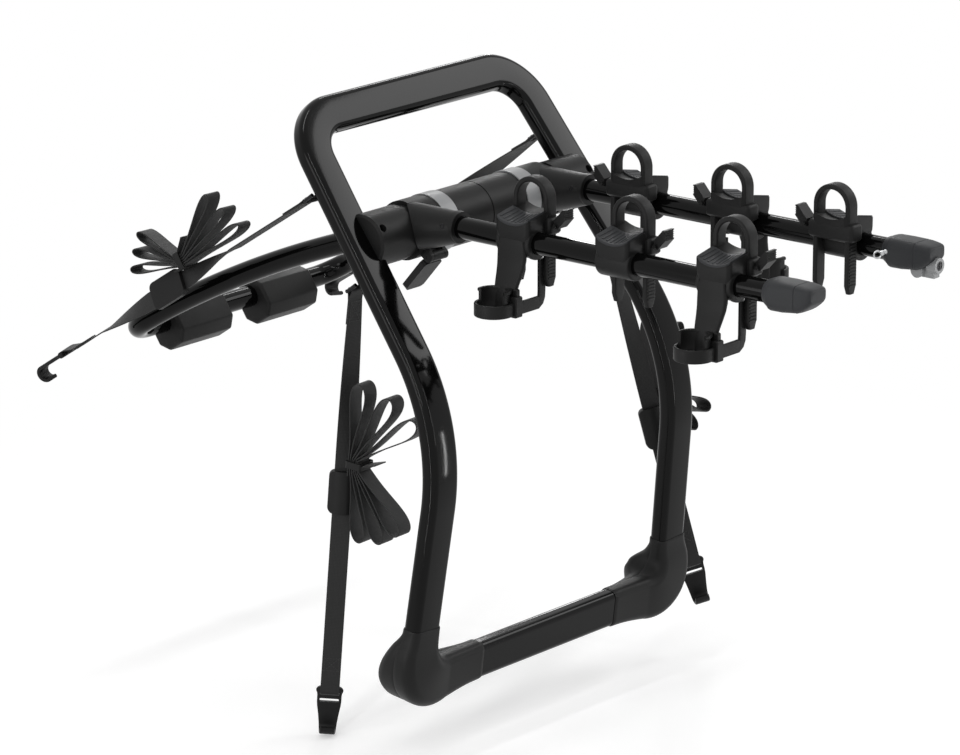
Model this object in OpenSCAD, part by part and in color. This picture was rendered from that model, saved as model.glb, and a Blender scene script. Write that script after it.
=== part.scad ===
// Trunk mounted bike rack for three bikes, millimetres.
// X runs across the vehicle, +Y towards it, -Y out to the bikes, +Z up.
// The origin is the middle of the hub, on the axis that the arms and the trunk leg turn about.

/* [Frame] */
// Width of the flat-oval frame tube
frame_tube_w = 50; // [44:1:54]
// Thickness of the frame tube
frame_tube_t = 25; // [22:0.5:28]
// Corner radius of the frame tube's section
frame_corner_r = 9; // [6:0.5:10]
// Wall of the frame tube
frame_wall = 2; // [1.5:0.1:3]
// Half width of the frame at the hub, to the middle of the tube
frame_half_w = 223; // [222:0.5:228]
// Outward run of each side tube for each millimetre of its length
frame_splay = 0.0575; // [0.05:0.0025:0.065]
// Lean of the upper frame from vertical, in degrees
upper_lean = 37.5; // [36:0.5:39]
// Lean of the lower frame back to the vehicle, in degrees
lower_lean = 7; // [5:0.5:9]
// Straight length of a side tube from the hub to its bend
upper_len = 157; // [150:1:165]
// Radius of the bend in each side tube
bend_r = 270; // [255:1:285]
// Straight length of a side tube from its bend to the crossbar
lower_len = 232; // [222:1:242]
// Height of the handle above the hub, along the side tubes
handle_up = 176; // [165:1:190]
// Radius of the handle's corners
handle_r = 60; // [50:1:70]

/* [Feet] */
// Height of a foot boot's top seam above the crossbar
boot_up = 76; // [70:1:82]
// Place of a boot's inner seam on the crossbar
boot_seam_x = 136; // [128:1:144]
// Wall of a foot boot at its seams
boot_wall = 1.5; // [1:0.25:2.5]
// Radius of the elbow inside a foot boot
boot_r = 48; // [44:1:52]
// Outward swell of a foot boot at its corner
boot_swell = 20; // [14:1:24]
// Swell of a foot boot's front and back at its corner
boot_belly = 6; // [4:0.5:8]
// Width of a foot pad
foot_w = 56; // [48:1:60]
// Height of a foot pad
foot_h = 84; // [74:1:90]
// Depth of a foot pad
foot_depth = 24; // [20:1:30]
// Corner radius of a foot pad
foot_r = 20; // [14:1:24]
// Drop of a foot pad's middle below the crossbar
foot_drop = 5; // [2:1:8]

/* [Hub] */
// Radius of the hub shaft
shaft_r = 9; // [7:0.5:11]
// Radius of the end brackets
bracket_r = 36; // [34:0.5:37]
// Outer face of an end bracket
bracket_out = 217; // [212:1:219]
// Inner face of an end bracket
bracket_in = 150; // [149:0.5:154]
// Radius of a leg knuckle's ring
knuckle_r = 34; // [32:0.5:36]
// Width of a leg knuckle's ring
knuckle_w = 12; // [9:0.5:13]
// Radius of the arm collars
collar_r = 39; // [38:0.5:40]
// Width of an arm collar
collar_w = 42; // [40:0.5:44]
// Radius of the light rings
ring_r = 40; // [39:0.5:41]
// Width of a light ring
ring_w = 26; // [20:1:30]
// Radius of the barrel between the rings
barrel_r = 38.5; // [37:0.5:39]
// Depth of the barrel's seam
seam_depth = 1; // [0.5:0.1:1.5]
// Width of the barrel's seam
seam_w = 2; // [1:0.5:3]

/* [Arms] */
// Outer radius of an arm tube
arm_r = 14.3; // [13.5:0.1:14.8]
// Wall of an arm tube
arm_wall = 2; // [1.5:0.1:3]
// Half distance between the arms
arm_x = 130; // [129:0.5:131]
// Height of the arms above the hub axis
arm_z = 18; // [16:0.5:20]
// Inner end of an arm tube, in its collar
arm_start = 44; // [42:1:50]
// Mouth of an arm collar
neck_end = 93; // [90:1:95]
// Outer radius of a collar's mouth
neck_r = 20.5; // [19.5:0.5:21]
// Outer radius of a collar's neck at the hub
neck_root_r = 34; // [32:0.5:35]
// Rear end of the near arm cap
near_cap_start = 580; // [578:1:590]
// Rear end of the far arm cap
far_cap_start = 571; // [560:1:580]
// Length of an arm cap
cap_len = 74; // [70:1:84]
// Radius of an arm cap where it is widest
cap_r = 21; // [19:0.5:22]
// Depth of the arm tube in its cap
cap_bore = 42; // [35:1:48]
// Radius of the lock core
lock_r = 6; // [5:0.25:7]
// Length of the lock core
lock_len = 10; // [8:1:12]
// Wall of the lock body round its core
lock_wall = 4; // [3:0.25:5]

/* [Release lever] */
// Width of the release lever
lever_w = 34; // [28:1:35]
// Length of the release lever's paddle
lever_len = 62; // [54:1:66]
// Thickness of the release lever
lever_t = 9; // [7:0.5:11]
// Angle of the release lever's paddle from level, in degrees
lever_angle = 49; // [44:1:54]

/* [Cradles] */
// Places of the near cradles along the arm
near_cradles = [193, 352, 510];
// Places of the far cradles along the arm
far_cradles = [181, 344, 506];
// Length of a cradle along the arm
cradle_len = 72; // [70:1:76]
// Reach of a cradle to its bare side of the arm
cradle_in = 22; // [20:0.5:26]
// Reach of a cradle to its strap side of the arm
cradle_out = 37; // [36.5:0.5:40]
// Height of a cradle's horns above the arm
cradle_top = 34; // [32:0.5:37]
// Radius of the saddle groove for a bike's top tube
saddle_r = 27; // [25:0.5:29]
// Height of the middle of the saddle groove above the arm
saddle_z = 52; // [51:0.5:54]
// Thickness of a saddle pad
saddle_pad_t = 3; // [2:0.25:3.5]
// Outer radius of a cradle's clip round the arm
clip_r = 20; // [18.5:0.25:20]
// Length of a clip ring of an anti-sway cradle
clip_len = 9; // [7:0.5:9.5]

/* [Cradle straps] */
// Width of a cradle strap
strap_w = 19; // [16:0.5:20]
// Thickness of a cradle strap
strap_t = 5; // [4:0.25:5.5]
// Outer width of a cradle strap's arch
strap_span = 56; // [54:0.5:58]
// Height of a cradle strap's arch above the arm
strap_top = 79; // [76:0.5:84]
// Drop of a cradle strap's tails below the arm
strap_tail = 60; // [52:1:60]
// Height of a ratchet lever
ratchet_h = 22; // [18:0.5:24]
// Reach of a ratchet lever
ratchet_len = 15; // [12:0.5:17]
// Radius of a ratchet lever's pin
ratchet_pin_r = 2.5; // [2:0.25:3]

/* [Anti-sway drops] */
// Length of a drop's collar on the arm
drop_len = 38; // [32:1:40]
// Outer radius of a drop's collar
drop_r = 19.5; // [18.5:0.25:19.75]
// Sideways reach of the cup from the arm
cup_out = 50; // [48:0.5:51]
// Depth of the cup's middle below the arm
cup_down = 72; // [70:1:76]
// Outer radius of the cup
cup_r = 21; // [20:0.25:21.5]
// Wall of the cup
cup_wall = 3.5; // [2.5:0.25:4]
// Height of the cup
cup_h = 34; // [30:1:36]
// Thickness of the plate that carries the cup
drop_plate_t = 7; // [5:0.5:9]
// Shift of the cup along the arm
cup_shift = 5; // [5:0.5:7]
// Height of an anti-sway strap
sway_w = 17; // [14:0.5:18]
// Thickness of an anti-sway strap
sway_t = 4; // [3:0.25:4]
// Length of an anti-sway strap's tail
sway_tail = 66; // [56:1:68]

/* [Trunk leg] */
// Outer radius of the leg's tube
leg_r = 14.5; // [13.5:0.25:15]
// Wall of the leg's tube
leg_wall = 2; // [1.5:0.1:3]
// Fall of the leg at the hub, in degrees
leg_fall = 15.5; // [14:0.5:17]
// Further fall of the leg along its length, in degrees
leg_sag = 18.5; // [17:0.5:20]
// Length of the leg from the hub to its crossbar
leg_len = 470; // [455:1:485]
// Half width of the leg at the hub
leg_half_in = 150; // [150:0.5:152]
// Half width of the leg at its crossbar
leg_half_out = 212; // [208:1:216]
// Radius of the leg's corners
leg_corner_r = 40; // [36:1:42]
// Start of the leg's tube, from the hub axis
leg_start = 50; // [49:0.5:54]
// Outer radius of a knuckle's socket
socket_r = 18.5; // [17.5:0.25:18.5]
// Outer end of a knuckle's socket, from the hub axis
socket_end = 84; // [80:1:90]
// Length of a trunk pad
pad_len = 102; // [96:1:106]
// Middle of a trunk pad on the crossbar
pad_x = 86; // [84:1:88]
// Width of a trunk pad along the leg
pad_w = 54; // [48:1:58]
// Height of a trunk pad above the tube's middle
pad_up = 20; // [18:0.5:22]
// Depth of a trunk pad below the tube's middle
pad_down = 38; // [34:1:42]

/* [Straps] */
// Width of the webbing
web_w = 25; // [20:1:26]
// Thickness of the webbing
web_t = 1.6; // [1.2:0.1:1.8]
// Step from run to run at a hank's waist
hank_pitch = 3; // [2.6:0.1:3.4]
// Length of a hank's waist
hank_waist = 16; // [12:1:20]
// Radius of an anchor's wire
bail_wire_r = 2.5; // [2:0.25:3]
// Radius of an anchor's loop
bail_r = 17; // [16.5:0.5:19]
// Length of a strap buckle
buckle_len = 58; // [50:1:62]
// Width of a strap buckle
buckle_w = 38; // [36:1:42]
// Thickness of a strap buckle
buckle_t = 14; // [12:0.5:16]
// Length of a strap hook
hook_len = 62; // [56:1:68]
// Width of a strap hook
hook_w = 36; // [34:1:40]
// Thickness of a strap hook's plate
hook_t = 5; // [4:0.5:6]
// Radius inside a strap hook's lip
hook_r = 7; // [5:0.5:9]

/* [Clearances] */
// Gap round a piece that is fixed in another
fit_gap = 0.15; // [0.1:0.01:0.25]
// Gap round a piece that turns on the hub shaft
run_gap = 0.06; // [0.03:0.01:0.1]
// Gap round a piece that slides or swings on a tube
slide_gap = 0.3; // [0.25:0.01:0.4]
// Gap beside a piece that turns
side_gap = 0.5; // [0.3:0.1:0.8]

/* [Hidden] */
$fn = 48;

NEAR = -1;
FAR = 1;
PAINT = "#161616";
PLASTIC = "#262625";
RUBBER = "#333332";
LIGHT_GREY = "#8c8d8c";
WEBBING = "#101010";
STEEL = "#9a9a98";

// Steps along bends, corners and loops
BEND_STEPS = 9;
CORNER_STEPS = 6;
LEG_STEPS = 6;
BAND_STEPS = 18;
LOOP_STEPS = 24;
SECTION_STEPS = 3;
TUBE_SIDES = 16;

// Places along the frame's side tubes, from the hub down
bend_end = upper_len + bend_r * (upper_lean + lower_lean) * PI / 180;
cross_s = bend_end + lower_len;
boot_top_s = cross_s - boot_up;
boot_t = frame_tube_t + 2 * boot_wall + 2 * boot_belly;
knuckle_mid = bracket_in - knuckle_w / 2 - side_gap;
collar_out = bracket_in - knuckle_w - 2 * side_gap;
collar_in = collar_out - collar_w;
ring_in = collar_in - ring_w;
strap_x = arm_r + strap_w / 2 + 2 * slide_gap;
leg_bend_r = leg_len / (leg_sag * PI / 180);

// Release lever's pin, its ears and the pivot just outside the near collar
lever_pin_r = 3;
ear_w = 6;
ear_r = 7;
lever_x = collar_in + 1 + lever_w / 2;
lever_pivot = collar_r + ear_r + 1.5;
lever_y = -lever_pivot * sin(lever_angle);
lever_z = -lever_pivot * cos(lever_angle);

// Strap routes: where each strap leaves its anchor, as a place on a side tube, and where its hook hangs
anchor_out = 8;
bail_half = web_w / 2 + bail_wire_r + 1;
upper_anchor_s = -82;
lower_anchor_s = 48;
far_lower_anchor_s = 118;
near_upper_hook = [-262, 478, -222];
near_lower_hook = [-240, 39, -600];
far_lower_hook = [322, -118, -532];
far_upper_hook = [262, 435, -205];

function unit(v) = v / norm(v);

// A point of the frame's surface, across x, down its side profile s, and b in front of it
function frame_lean(s) =
    s < upper_len ? upper_lean
    : s < bend_end ? upper_lean - (s - upper_len) / bend_r * 180 / PI
    : -lower_lean;
function frame_yz(s) =
    let (top = min(s, upper_len), lean = frame_lean(s), low = max(s - bend_end, 0))
    [-top * sin(upper_lean), -top * cos(upper_lean)]
    + bend_r * [cos(upper_lean) - cos(lean), sin(lean) - sin(upper_lean)]
    + low * [sin(lower_lean), -cos(lower_lean)];
on_frame = function (x, s, b)
    let (lean = frame_lean(s), p = frame_yz(s))
    [x, p.x - b * cos(lean), p.y + b * sin(lean)];
function frame_w(s) = frame_half_w + frame_splay * s;

// A point of the leg's surface, across x, out along its side profile t, and b below it
function leg_angle(t) = leg_fall + leg_sag * t / leg_len;
on_leg = function (x, t, b)
    let (a = leg_angle(t))
    [x,
        leg_bend_r * (sin(a) - sin(leg_fall)) - b * sin(a),
        leg_bend_r * (cos(a) - cos(leg_fall)) - b * cos(a)];

// Flat paths: an evenly divided run without its last point, and the rounded corner between two runs
function run(p, q, n) = [for (i = [0:n - 1]) p + (q - p) * i / n];
function corner(p, c, q, r, n) =
    let (
        u = unit(p - c),
        v = unit(q - c),
        half = acos(u * v) / 2,
        middle = c + unit(u + v) * r / sin(half),
        first = c + u * r / tan(half) - middle,
        start = atan2(first.y, first.x),
        turn = (cross(u, v) > 0 ? -1 : 1) * (180 - 2 * half)
    )
    [for (i = [0:n]) let (a = start + turn * i / n) middle + r * [cos(a), sin(a)]];
function heading(path, i) = unit(path[min(i + 1, len(path) - 1)] - path[max(i - 1, 0)]);

// Sections: a rounded rectangle and a circle
function round_rect(w, t, r) = [
    for (q = [0:3]) for (i = [0:SECTION_STEPS])
        let (
            a = 90 * (q + i / SECTION_STEPS),
            cx = (q == 0 || q == 3 ? 1 : -1) * (w / 2 - r),
            cy = (q < 2 ? 1 : -1) * (t / 2 - r)
        )
        [cx + r * cos(a), cy + r * sin(a)]
];
function round_section(r) = [for (i = [0:TUBE_SIDES - 1]) r * [cos(360 * i / TUBE_SIDES), sin(360 * i / TUBE_SIDES)]];

// A section carried along a flat path on a surface
function ring_at(on, path, i, section) =
    let (p = path[i], d = heading(path, i))
    [for (q = section) on(p.x + q.x * d.y, p.y - q.x * d.x, q.y)];
function sweep(on, path, section) = [for (i = [0:len(path) - 1]) ring_at(on, path, i, section)];

// Faces between the rings of a skin, with outward or inward sides
function side_faces(n, m, base, out) = [
    for (i = [0:n - 2]) for (j = [0:m - 1])
        let (a = base + i * m + j, b = base + i * m + (j + 1) % m, c = b + m, d = a + m)
        each out ? [[a, c, b], [a, d, c]] : [[a, b, c], [a, c, d]]
];

// A closed solid through rings of points
module skin(rings) {
    n = len(rings);
    m = len(rings[0]);
    last = (n - 1) * m;
    polyhedron(
        [for (r = rings) each r],
        concat(
            side_faces(n, m, 0, true),
            [for (j = [1:m - 2]) [0, j, j + 1]],
            [for (j = [1:m - 2]) [last, last + j + 1, last + j]]
        )
    );
}

// A hollow tube between outer and inner rings, open at both ends
module hollow_skin(outer, inner) {
    n = len(outer);
    m = len(outer[0]);
    base = n * m;
    last = (n - 1) * m;
    polyhedron(
        [for (r = concat(outer, inner)) each r],
        concat(
            side_faces(n, m, 0, true),
            side_faces(n, m, base, false),
            [for (j = [0:m - 1]) let (k = (j + 1) % m)
                each [[j, k, base + k], [j, base + k, base + j]]],
            [for (j = [0:m - 1]) let (k = (j + 1) % m)
                each [[last + j, base + last + k, last + k], [last + j, base + last + j, base + last + k]]]
        )
    );
}

// A round bar along X from x0 to x1, and one along Y from y0 to y1
module bar_x(r, x0, x1) {
    translate([x0, 0, 0]) rotate([0, 90, 0]) cylinder(r = r, h = x1 - x0);
}
module bar_y(r, y0, y1) {
    translate([0, y0, 0]) rotate([-90, 0, 0]) cylinder(r = r, h = y1 - y0);
}
// A box between two corners
module block(low, high) {
    translate(low) cube(high - low);
}
// A flat rounded rectangle
module rounded_plate(w, h, r) {
    square([w - 2 * r, h], center = true);
    square([w, h - 2 * r], center = true);
    for (x = [-1, 1], y = [-1, 1]) translate([x * (w / 2 - r), y * (h / 2 - r)]) circle(r);
}
// Shapes on the side tube of one side at s, with local Z up the tube and local Y behind it
module at_side_tube(side, s) {
    translate(on_frame(side * frame_w(s), s, 0)) rotate([-frame_lean(s), 0, 0]) children();
}
module at_arm(side) {
    translate([side * arm_x, 0, arm_z]) children();
}

// Frame: hoop, crossbar and feet
module frame_hoop() {
    top = [for (side = [NEAR, FAR]) [side * frame_w(-handle_up), -handle_up]];
    tip_s = cross_s - boot_r;
    bend = [for (side = [NEAR, FAR]) [side * frame_w(bend_end), bend_end]];
    start = [for (side = [NEAR, FAR]) [side * frame_w(upper_len), upper_len]];
    tip = [for (side = [NEAR, FAR]) [side * frame_w(tip_s), tip_s]];
    near_corner = corner(start[0], top[0], top[1], handle_r, CORNER_STEPS);
    far_corner = corner(top[0], top[1], start[1], handle_r, CORNER_STEPS);
    path = concat(
        [tip[0]],
        run(bend[0], start[0], BEND_STEPS), [start[0]],
        near_corner, far_corner,
        run(start[1], bend[1], BEND_STEPS), [bend[1]],
        [tip[1]]
    );
    color(PAINT)
    hollow_skin(
        sweep(on_frame, path, round_rect(frame_tube_w, frame_tube_t, frame_corner_r)),
        sweep(on_frame, path, round_rect(
            frame_tube_w - 2 * frame_wall, frame_tube_t - 2 * frame_wall, frame_corner_r - frame_wall))
    );
}

module lower_crossbar() {
    half = frame_w(cross_s) - boot_r;
    color(PAINT)
    translate(on_frame(0, cross_s, 0)) rotate([lower_lean, 0, 0])
    rotate([90, 0, 90])
    linear_extrude(2 * half, center = true)
    difference() {
        rounded_plate(frame_tube_t, frame_tube_w, frame_corner_r);
        rounded_plate(frame_tube_t - 2 * frame_wall, frame_tube_w - 2 * frame_wall, frame_corner_r - frame_wall);
    }
}

module foot_boot(side) {
    first = [side * frame_w(boot_top_s), boot_top_s];
    elbow = [side * frame_w(cross_s), cross_s];
    last = [side * boot_seam_x, cross_s];
    bend = corner(first, elbow, last, boot_r, CORNER_STEPS);
    path = concat(run(first, bend[0], 2), bend, [bend[CORNER_STEPS] + (last - bend[CORNER_STEPS]) / 3, last]);
    count = len(path) - 1;
    hole = round_rect(frame_tube_w + 2 * fit_gap, frame_tube_t + 2 * fit_gap, frame_corner_r - 2);
    color(PLASTIC)
    hollow_skin(
        [for (i = [0:count]) let (swell = pow(sin(180 * i / count), 2)) ring_at(on_frame, path, i, [
            for (q = round_rect(
                frame_tube_w + 2 * boot_wall + boot_swell * swell,
                frame_tube_t + 2 * boot_wall + 2 * boot_belly * swell, frame_corner_r + boot_wall))
                q + [side * boot_swell / 2 * swell, 0]
        ])],
        sweep(on_frame, path, hole)
    );
}

module near_foot_boot() foot_boot(NEAR);
module far_foot_boot() foot_boot(FAR);

// Rubber feet on the backs of the boots, with a step to a smaller sole
module foot_pads() {
    sole = 10;
    rim = 4;
    color(RUBBER)
    for (side = [NEAR, FAR])
    translate(on_frame(side * (frame_w(cross_s) - foot_w / 2 + frame_tube_w / 2), cross_s + foot_drop, 0))
    rotate([lower_lean, 0, 0])
    translate([0, boot_t / 2 + fit_gap, 0])
    rotate([-90, 0, 0]) {
        linear_extrude(foot_depth - sole) rounded_plate(foot_w, foot_h, foot_r);
        translate([0, 0, foot_depth - sole])
        linear_extrude(sole) rounded_plate(foot_w - 2 * rim, foot_h - 2 * rim, foot_r - rim);
    }
}

// Hub: brackets, shaft, collars, rings and barrel
module hub_bracket(side) {
    bolt_r = 5.5;
    bolt_x = (bracket_out + frame_half_w - frame_tube_w / 2) / 2;
    edge = 3;
    color(PLASTIC)
    mirror([side < 0 ? 1 : 0, 0, 0])
    difference() {
        union() {
            bar_x(bracket_r, bracket_in, bracket_out - edge);
            translate([bracket_out - edge, 0, 0]) rotate([0, 90, 0]) cylinder(r1 = bracket_r, r2 = bracket_r - edge, h = edge);
        }
        bar_x(shaft_r + fit_gap, bracket_in - 1, bracket_out + 1);
        at_side_tube(FAR, 0) rotate([0, -atan(frame_splay), 0])
        linear_extrude(4 * bracket_r, center = true)
            rounded_plate(frame_tube_w + 2 * fit_gap, frame_tube_t + 2 * fit_gap, frame_corner_r + fit_gap);
        // Bolt holes in front and on top
        rotate([-upper_lean, 0, 0]) {
            translate([bolt_x, -bracket_r - edge, 0]) rotate([-90, 0, 0]) cylinder(r = bolt_r, h = bracket_r / 4 + edge);
            translate([(bracket_in + frame_half_w - frame_tube_w / 2) / 2, 0, bracket_r * 3 / 4])
                cylinder(r = bolt_r, h = bracket_r);
        }
    }
}

module near_hub_bracket() hub_bracket(NEAR);
module far_hub_bracket() hub_bracket(FAR);

module hub_shaft() {
    half = frame_half_w - frame_tube_w / 2 - 4;
    color(STEEL) bar_x(shaft_r, -half, half);
}

module arm_collar(side) {
    root_z = 4;
    tilt = atan((arm_z - root_z) / neck_end);
    lip = 9;
    color(PLASTIC)
    mirror([side < 0 ? 1 : 0, 0, 0])
    difference() {
        union() {
            bar_x(collar_r, collar_in, collar_out);
            translate([arm_x, 0, root_z]) rotate([90 - tilt, 0, 0])
                cylinder(r1 = neck_root_r, r2 = neck_r, h = (neck_end - lip / 2) / cos(tilt));
            at_arm(FAR) bar_y(neck_r, -neck_end, -neck_end + lip);
            // Ears for the lever's pin
            if (side == NEAR)
                for (x = [lever_x - lever_w / 2 + ear_w + side_gap, lever_x + lever_w / 2 - side_gap])
                    translate([x - ear_w, lever_y, lever_z]) rotate([-lever_angle, 0, 0]) {
                        bar_x(ear_r, 0, ear_w);
                        block([0, -ear_r, 0], [ear_w, ear_r, lever_pivot - shaft_r - 2 * ear_r]);
                    }
        }
        bar_x(bracket_r + 3 * side_gap, collar_out + 0.01, bracket_out);
        bar_x(shaft_r + run_gap, 0, bracket_out);
        at_arm(FAR) bar_y(arm_r + fit_gap, -neck_end - 1, -arm_start);
        if (side == NEAR)
            translate([0, lever_y, lever_z]) bar_x(lever_pin_r + run_gap, collar_in, arm_x + arm_r);
    }
}

module near_arm_collar() arm_collar(NEAR);
module far_arm_collar() arm_collar(FAR);

module hub_barrel() {
    lug = [16, 10, 18];
    lug_x = 24;
    color(PLASTIC)
    difference() {
        union() {
            bar_x(barrel_r, -ring_in + fit_gap, ring_in - fit_gap);
            rotate([25, 0, 0]) translate([lug_x - lug.x / 2, -barrel_r - 3, -lug.z / 2]) cube(lug);
        }
        bar_x(shaft_r + run_gap, -ring_in - 1, ring_in + 1);
        difference() {
            bar_x(barrel_r + 1, -seam_w / 2, seam_w / 2);
            bar_x(barrel_r - seam_depth, -seam_w, seam_w);
        }
    }
}

module hub_rings() {
    color(LIGHT_GREY)
    for (side = [NEAR, FAR])
    mirror([side < 0 ? 1 : 0, 0, 0])
    difference() {
        bar_x(ring_r, ring_in, collar_in - fit_gap);
        bar_x(shaft_r + run_gap, ring_in - 1, collar_in + 1);
    }
}

// Release lever under the near collar, hung on its pin
module release_lever() {
    knuckle = lever_w - 2 * ear_w - 4 * side_gap;
    color(PLASTIC)
    translate([-lever_x, lever_y, lever_z]) {
        bar_x(lever_pin_r, -lever_w / 2 + 2 * side_gap, lever_w / 2 - 2 * side_gap);
        bar_x(ear_r, -knuckle / 2, knuckle / 2);
        rotate([-lever_angle, 0, 0]) {
            block([1 - knuckle / 2, 0, 1 - lever_t / 2], [knuckle / 2 - 1, ear_r + 8, lever_t / 2 - 1]);
            translate([0, ear_r + 2, -lever_t / 2])
            linear_extrude(lever_t) {
                translate([0, (lever_len - 8) / 2]) rounded_plate(lever_w, lever_len - 8, 6);
            }
        }
    }
}

// Arms, caps and lock
module arm_tube(side, cap_start) {
    color(PAINT)
    at_arm(side)
    difference() {
        bar_y(arm_r, -cap_start - cap_bore + fit_gap, -arm_start - fit_gap);
        bar_y(arm_r - arm_wall, -cap_start - cap_bore - 1, -arm_start + 1);
    }
}
module near_arm_tube() arm_tube(NEAR, near_cap_start);
module far_arm_tube() arm_tube(FAR, far_cap_start);

// Rubber cap: a chamfered rear, a long taper and a drooping nose
module arm_cap(side, start) {
    rear_r = arm_r + 2;
    chamfer = 11;
    nose_r = 9;
    droop = 5;
    color(RUBBER)
    at_arm(side) translate([0, -start, 0])
    difference() {
        hull() {
            bar_y(rear_r, -1, 0);
            bar_y(cap_r, -chamfer - 8, -chamfer);
            translate([0, 0, -droop / 2]) bar_y(cap_r - 3, -cap_len * 0.78, -cap_len * 0.72);
            for (x = [-1, 1]) translate([x * 6, nose_r - cap_len, -droop]) sphere(nose_r, $fn = 32);
        }
        bar_y(arm_r + fit_gap, -cap_bore, 1);
        if (side == FAR) {
            translate([0, 0, lock_z]) bar_y(lock_r + lock_wall + fit_gap, -cap_len - 1, -cap_len + lock_len);
            translate([0, lug_y, lug_z]) bar_x(lug_r + fit_gap, -lug_half - fit_gap, lug_half + fit_gap);
            block([-lug_half / 2 - fit_gap, -2 * cap_len, lug_z - 2 * lug_r], [lug_half / 2 + fit_gap, lug_y, lock_z + fit_gap]);
        }
    }
}
module near_arm_cap() arm_cap(NEAR, near_cap_start);
module far_arm_cap() arm_cap(FAR, far_cap_start);

lock_z = -9;
lug_r = 9;
lug_y = -cap_bore - lug_r - side_gap;
lug_z = -17;
lug_half = 12;
module lock_body() {
    tip = 4;
    color(LIGHT_GREY)
    at_arm(FAR) translate([0, -far_cap_start, 0])
    difference() {
        union() {
            translate([0, 0, lock_z]) bar_y(lock_r + lock_wall, -cap_len - tip, -cap_len + lock_len - fit_gap);
            translate([0, lug_y, lug_z]) bar_x(lug_r, -lug_half, lug_half);
            block([-lug_half / 2, -cap_len, lug_z - lug_r + 1], [lug_half / 2, lug_y, lock_z]);
        }
        translate([0, 0, lock_z]) bar_y(lock_r + run_gap, -cap_len - tip - 1, -cap_len - tip + lock_len);
    }
}
module lock_core() {
    tip = 4;
    slot = [1.6, 3, 7];
    color(STEEL)
    at_arm(FAR) translate([0, -far_cap_start - cap_len - tip, lock_z])
    difference() {
        bar_y(lock_r, 0.5, lock_len - fit_gap);
        translate([-slot.x / 2, -1, -slot.z / 2]) cube(slot);
    }
}

// Cradles: the strap side of each is the inner one, so those of the far arm are turned by 180 degrees
function cradle_y(side, number) = -(side == NEAR ? near_cradles : far_cradles)[number - 1];
function has_drop(side, number) = side == NEAR ? number != 2 : number == 2;

module at_cradle(side, number) {
    at_arm(side) translate([0, cradle_y(side, number), 0]) rotate([0, 0, side == FAR ? 180 : 0]) children();
}
leg_y = strap_span / 2 - strap_t / 2;

module cradle(side, number) {
    drop = has_drop(side, number);
    half = cradle_len / 2;
    floor_z = drop ? drop_r + 3 * slide_gap : 0;
    hold = ratchet_pin_r + 2.5;
    rise = 4;
    slope = 13;
    nick = 5;
    color(PLASTIC)
    at_cradle(side, number)
    difference() {
        union() {
            translate([-cradle_in, 0, 0]) rotate([90, 0, 90])
            linear_extrude(cradle_in + cradle_out)
            polygon([
                [-half, floor_z], [half, floor_z], [half, floor_z + rise], [half - slope, cradle_top],
                [-half + nick, cradle_top], [-half, cradle_top - nick]
            ]);
            if (drop)
                for (y = [-half, half - clip_len]) {
                    bar_y(clip_r, y, y + clip_len);
                    block([-clip_r, y, 0], [clip_r, y + clip_len, floor_z + 1]);
                }
            else
                bar_y(clip_r, -leg_y + strap_t, leg_y - strap_t);
            // Cheeks for the ratchet lever
            for (x = [strap_x - strap_w / 2 - cheek, strap_x + strap_w / 2])
                block([x, ratchet_y - hold, ratchet_z - hold], [x + cheek, 1 - half, ratchet_z + hold]);
        }
        bar_y(arm_r + slide_gap, -half - 1, half + 1);
        // Saddle groove and the pad's bed
        translate([0, 0, saddle_z]) bar_x(saddle_r, -cradle_in - 1, cradle_out + 1);
        // Strap slots
        for (y = [-leg_y, leg_y])
            translate([strap_x, y, 0])
                cube([strap_w + 2 * fit_gap, strap_t + 2 * fit_gap, 3 * cradle_top], center = true);
        translate([0, ratchet_y, ratchet_z]) bar_x(ratchet_pin_r + run_gap, strap_x - strap_w, strap_x + strap_w);
    }
}

module saddle_pad(side, number) {
    rib = 1;
    ribs = 5;
    color(RUBBER)
    at_cradle(side, number)
    intersection() {
        block([-cradle_in, -cradle_len / 2, 0], [strap_x - strap_w / 2 - side_gap, cradle_len / 2, cradle_top]);
        translate([0, 0, saddle_z])
        difference() {
            bar_x(saddle_r - fit_gap, -cradle_in, cradle_out);
            bar_x(saddle_r - saddle_pad_t, -cradle_in - 1, cradle_out + 1);
            for (i = [0:ribs - 1])
                translate([-cradle_in + (i + 0.5) * (cradle_in + strap_x - strap_w / 2) / ribs, 0, 0])
                    bar_x(saddle_r - saddle_pad_t + rib, -rib, rib);
        }
    }
}

// Rubber strap: an arch over the bike's tube with two legs that pass the arm
module cradle_strap(side, number) {
    arch_r = strap_span / 2;
    arch_z = strap_top - arch_r;
    color(RUBBER)
    at_cradle(side, number)
    translate([strap_x, 0, 0]) {
        translate([0, 0, arch_z]) rotate([90, 0, 90])
        rotate_extrude(angle = 180) translate([arch_r - strap_t, -strap_w / 2]) square([strap_t, strap_w]);
        for (y = [-leg_y, leg_y])
            translate([-strap_w / 2, y - strap_t / 2, -strap_tail]) cube([strap_w, strap_t, arch_z + strap_tail]);
    }
}

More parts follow.
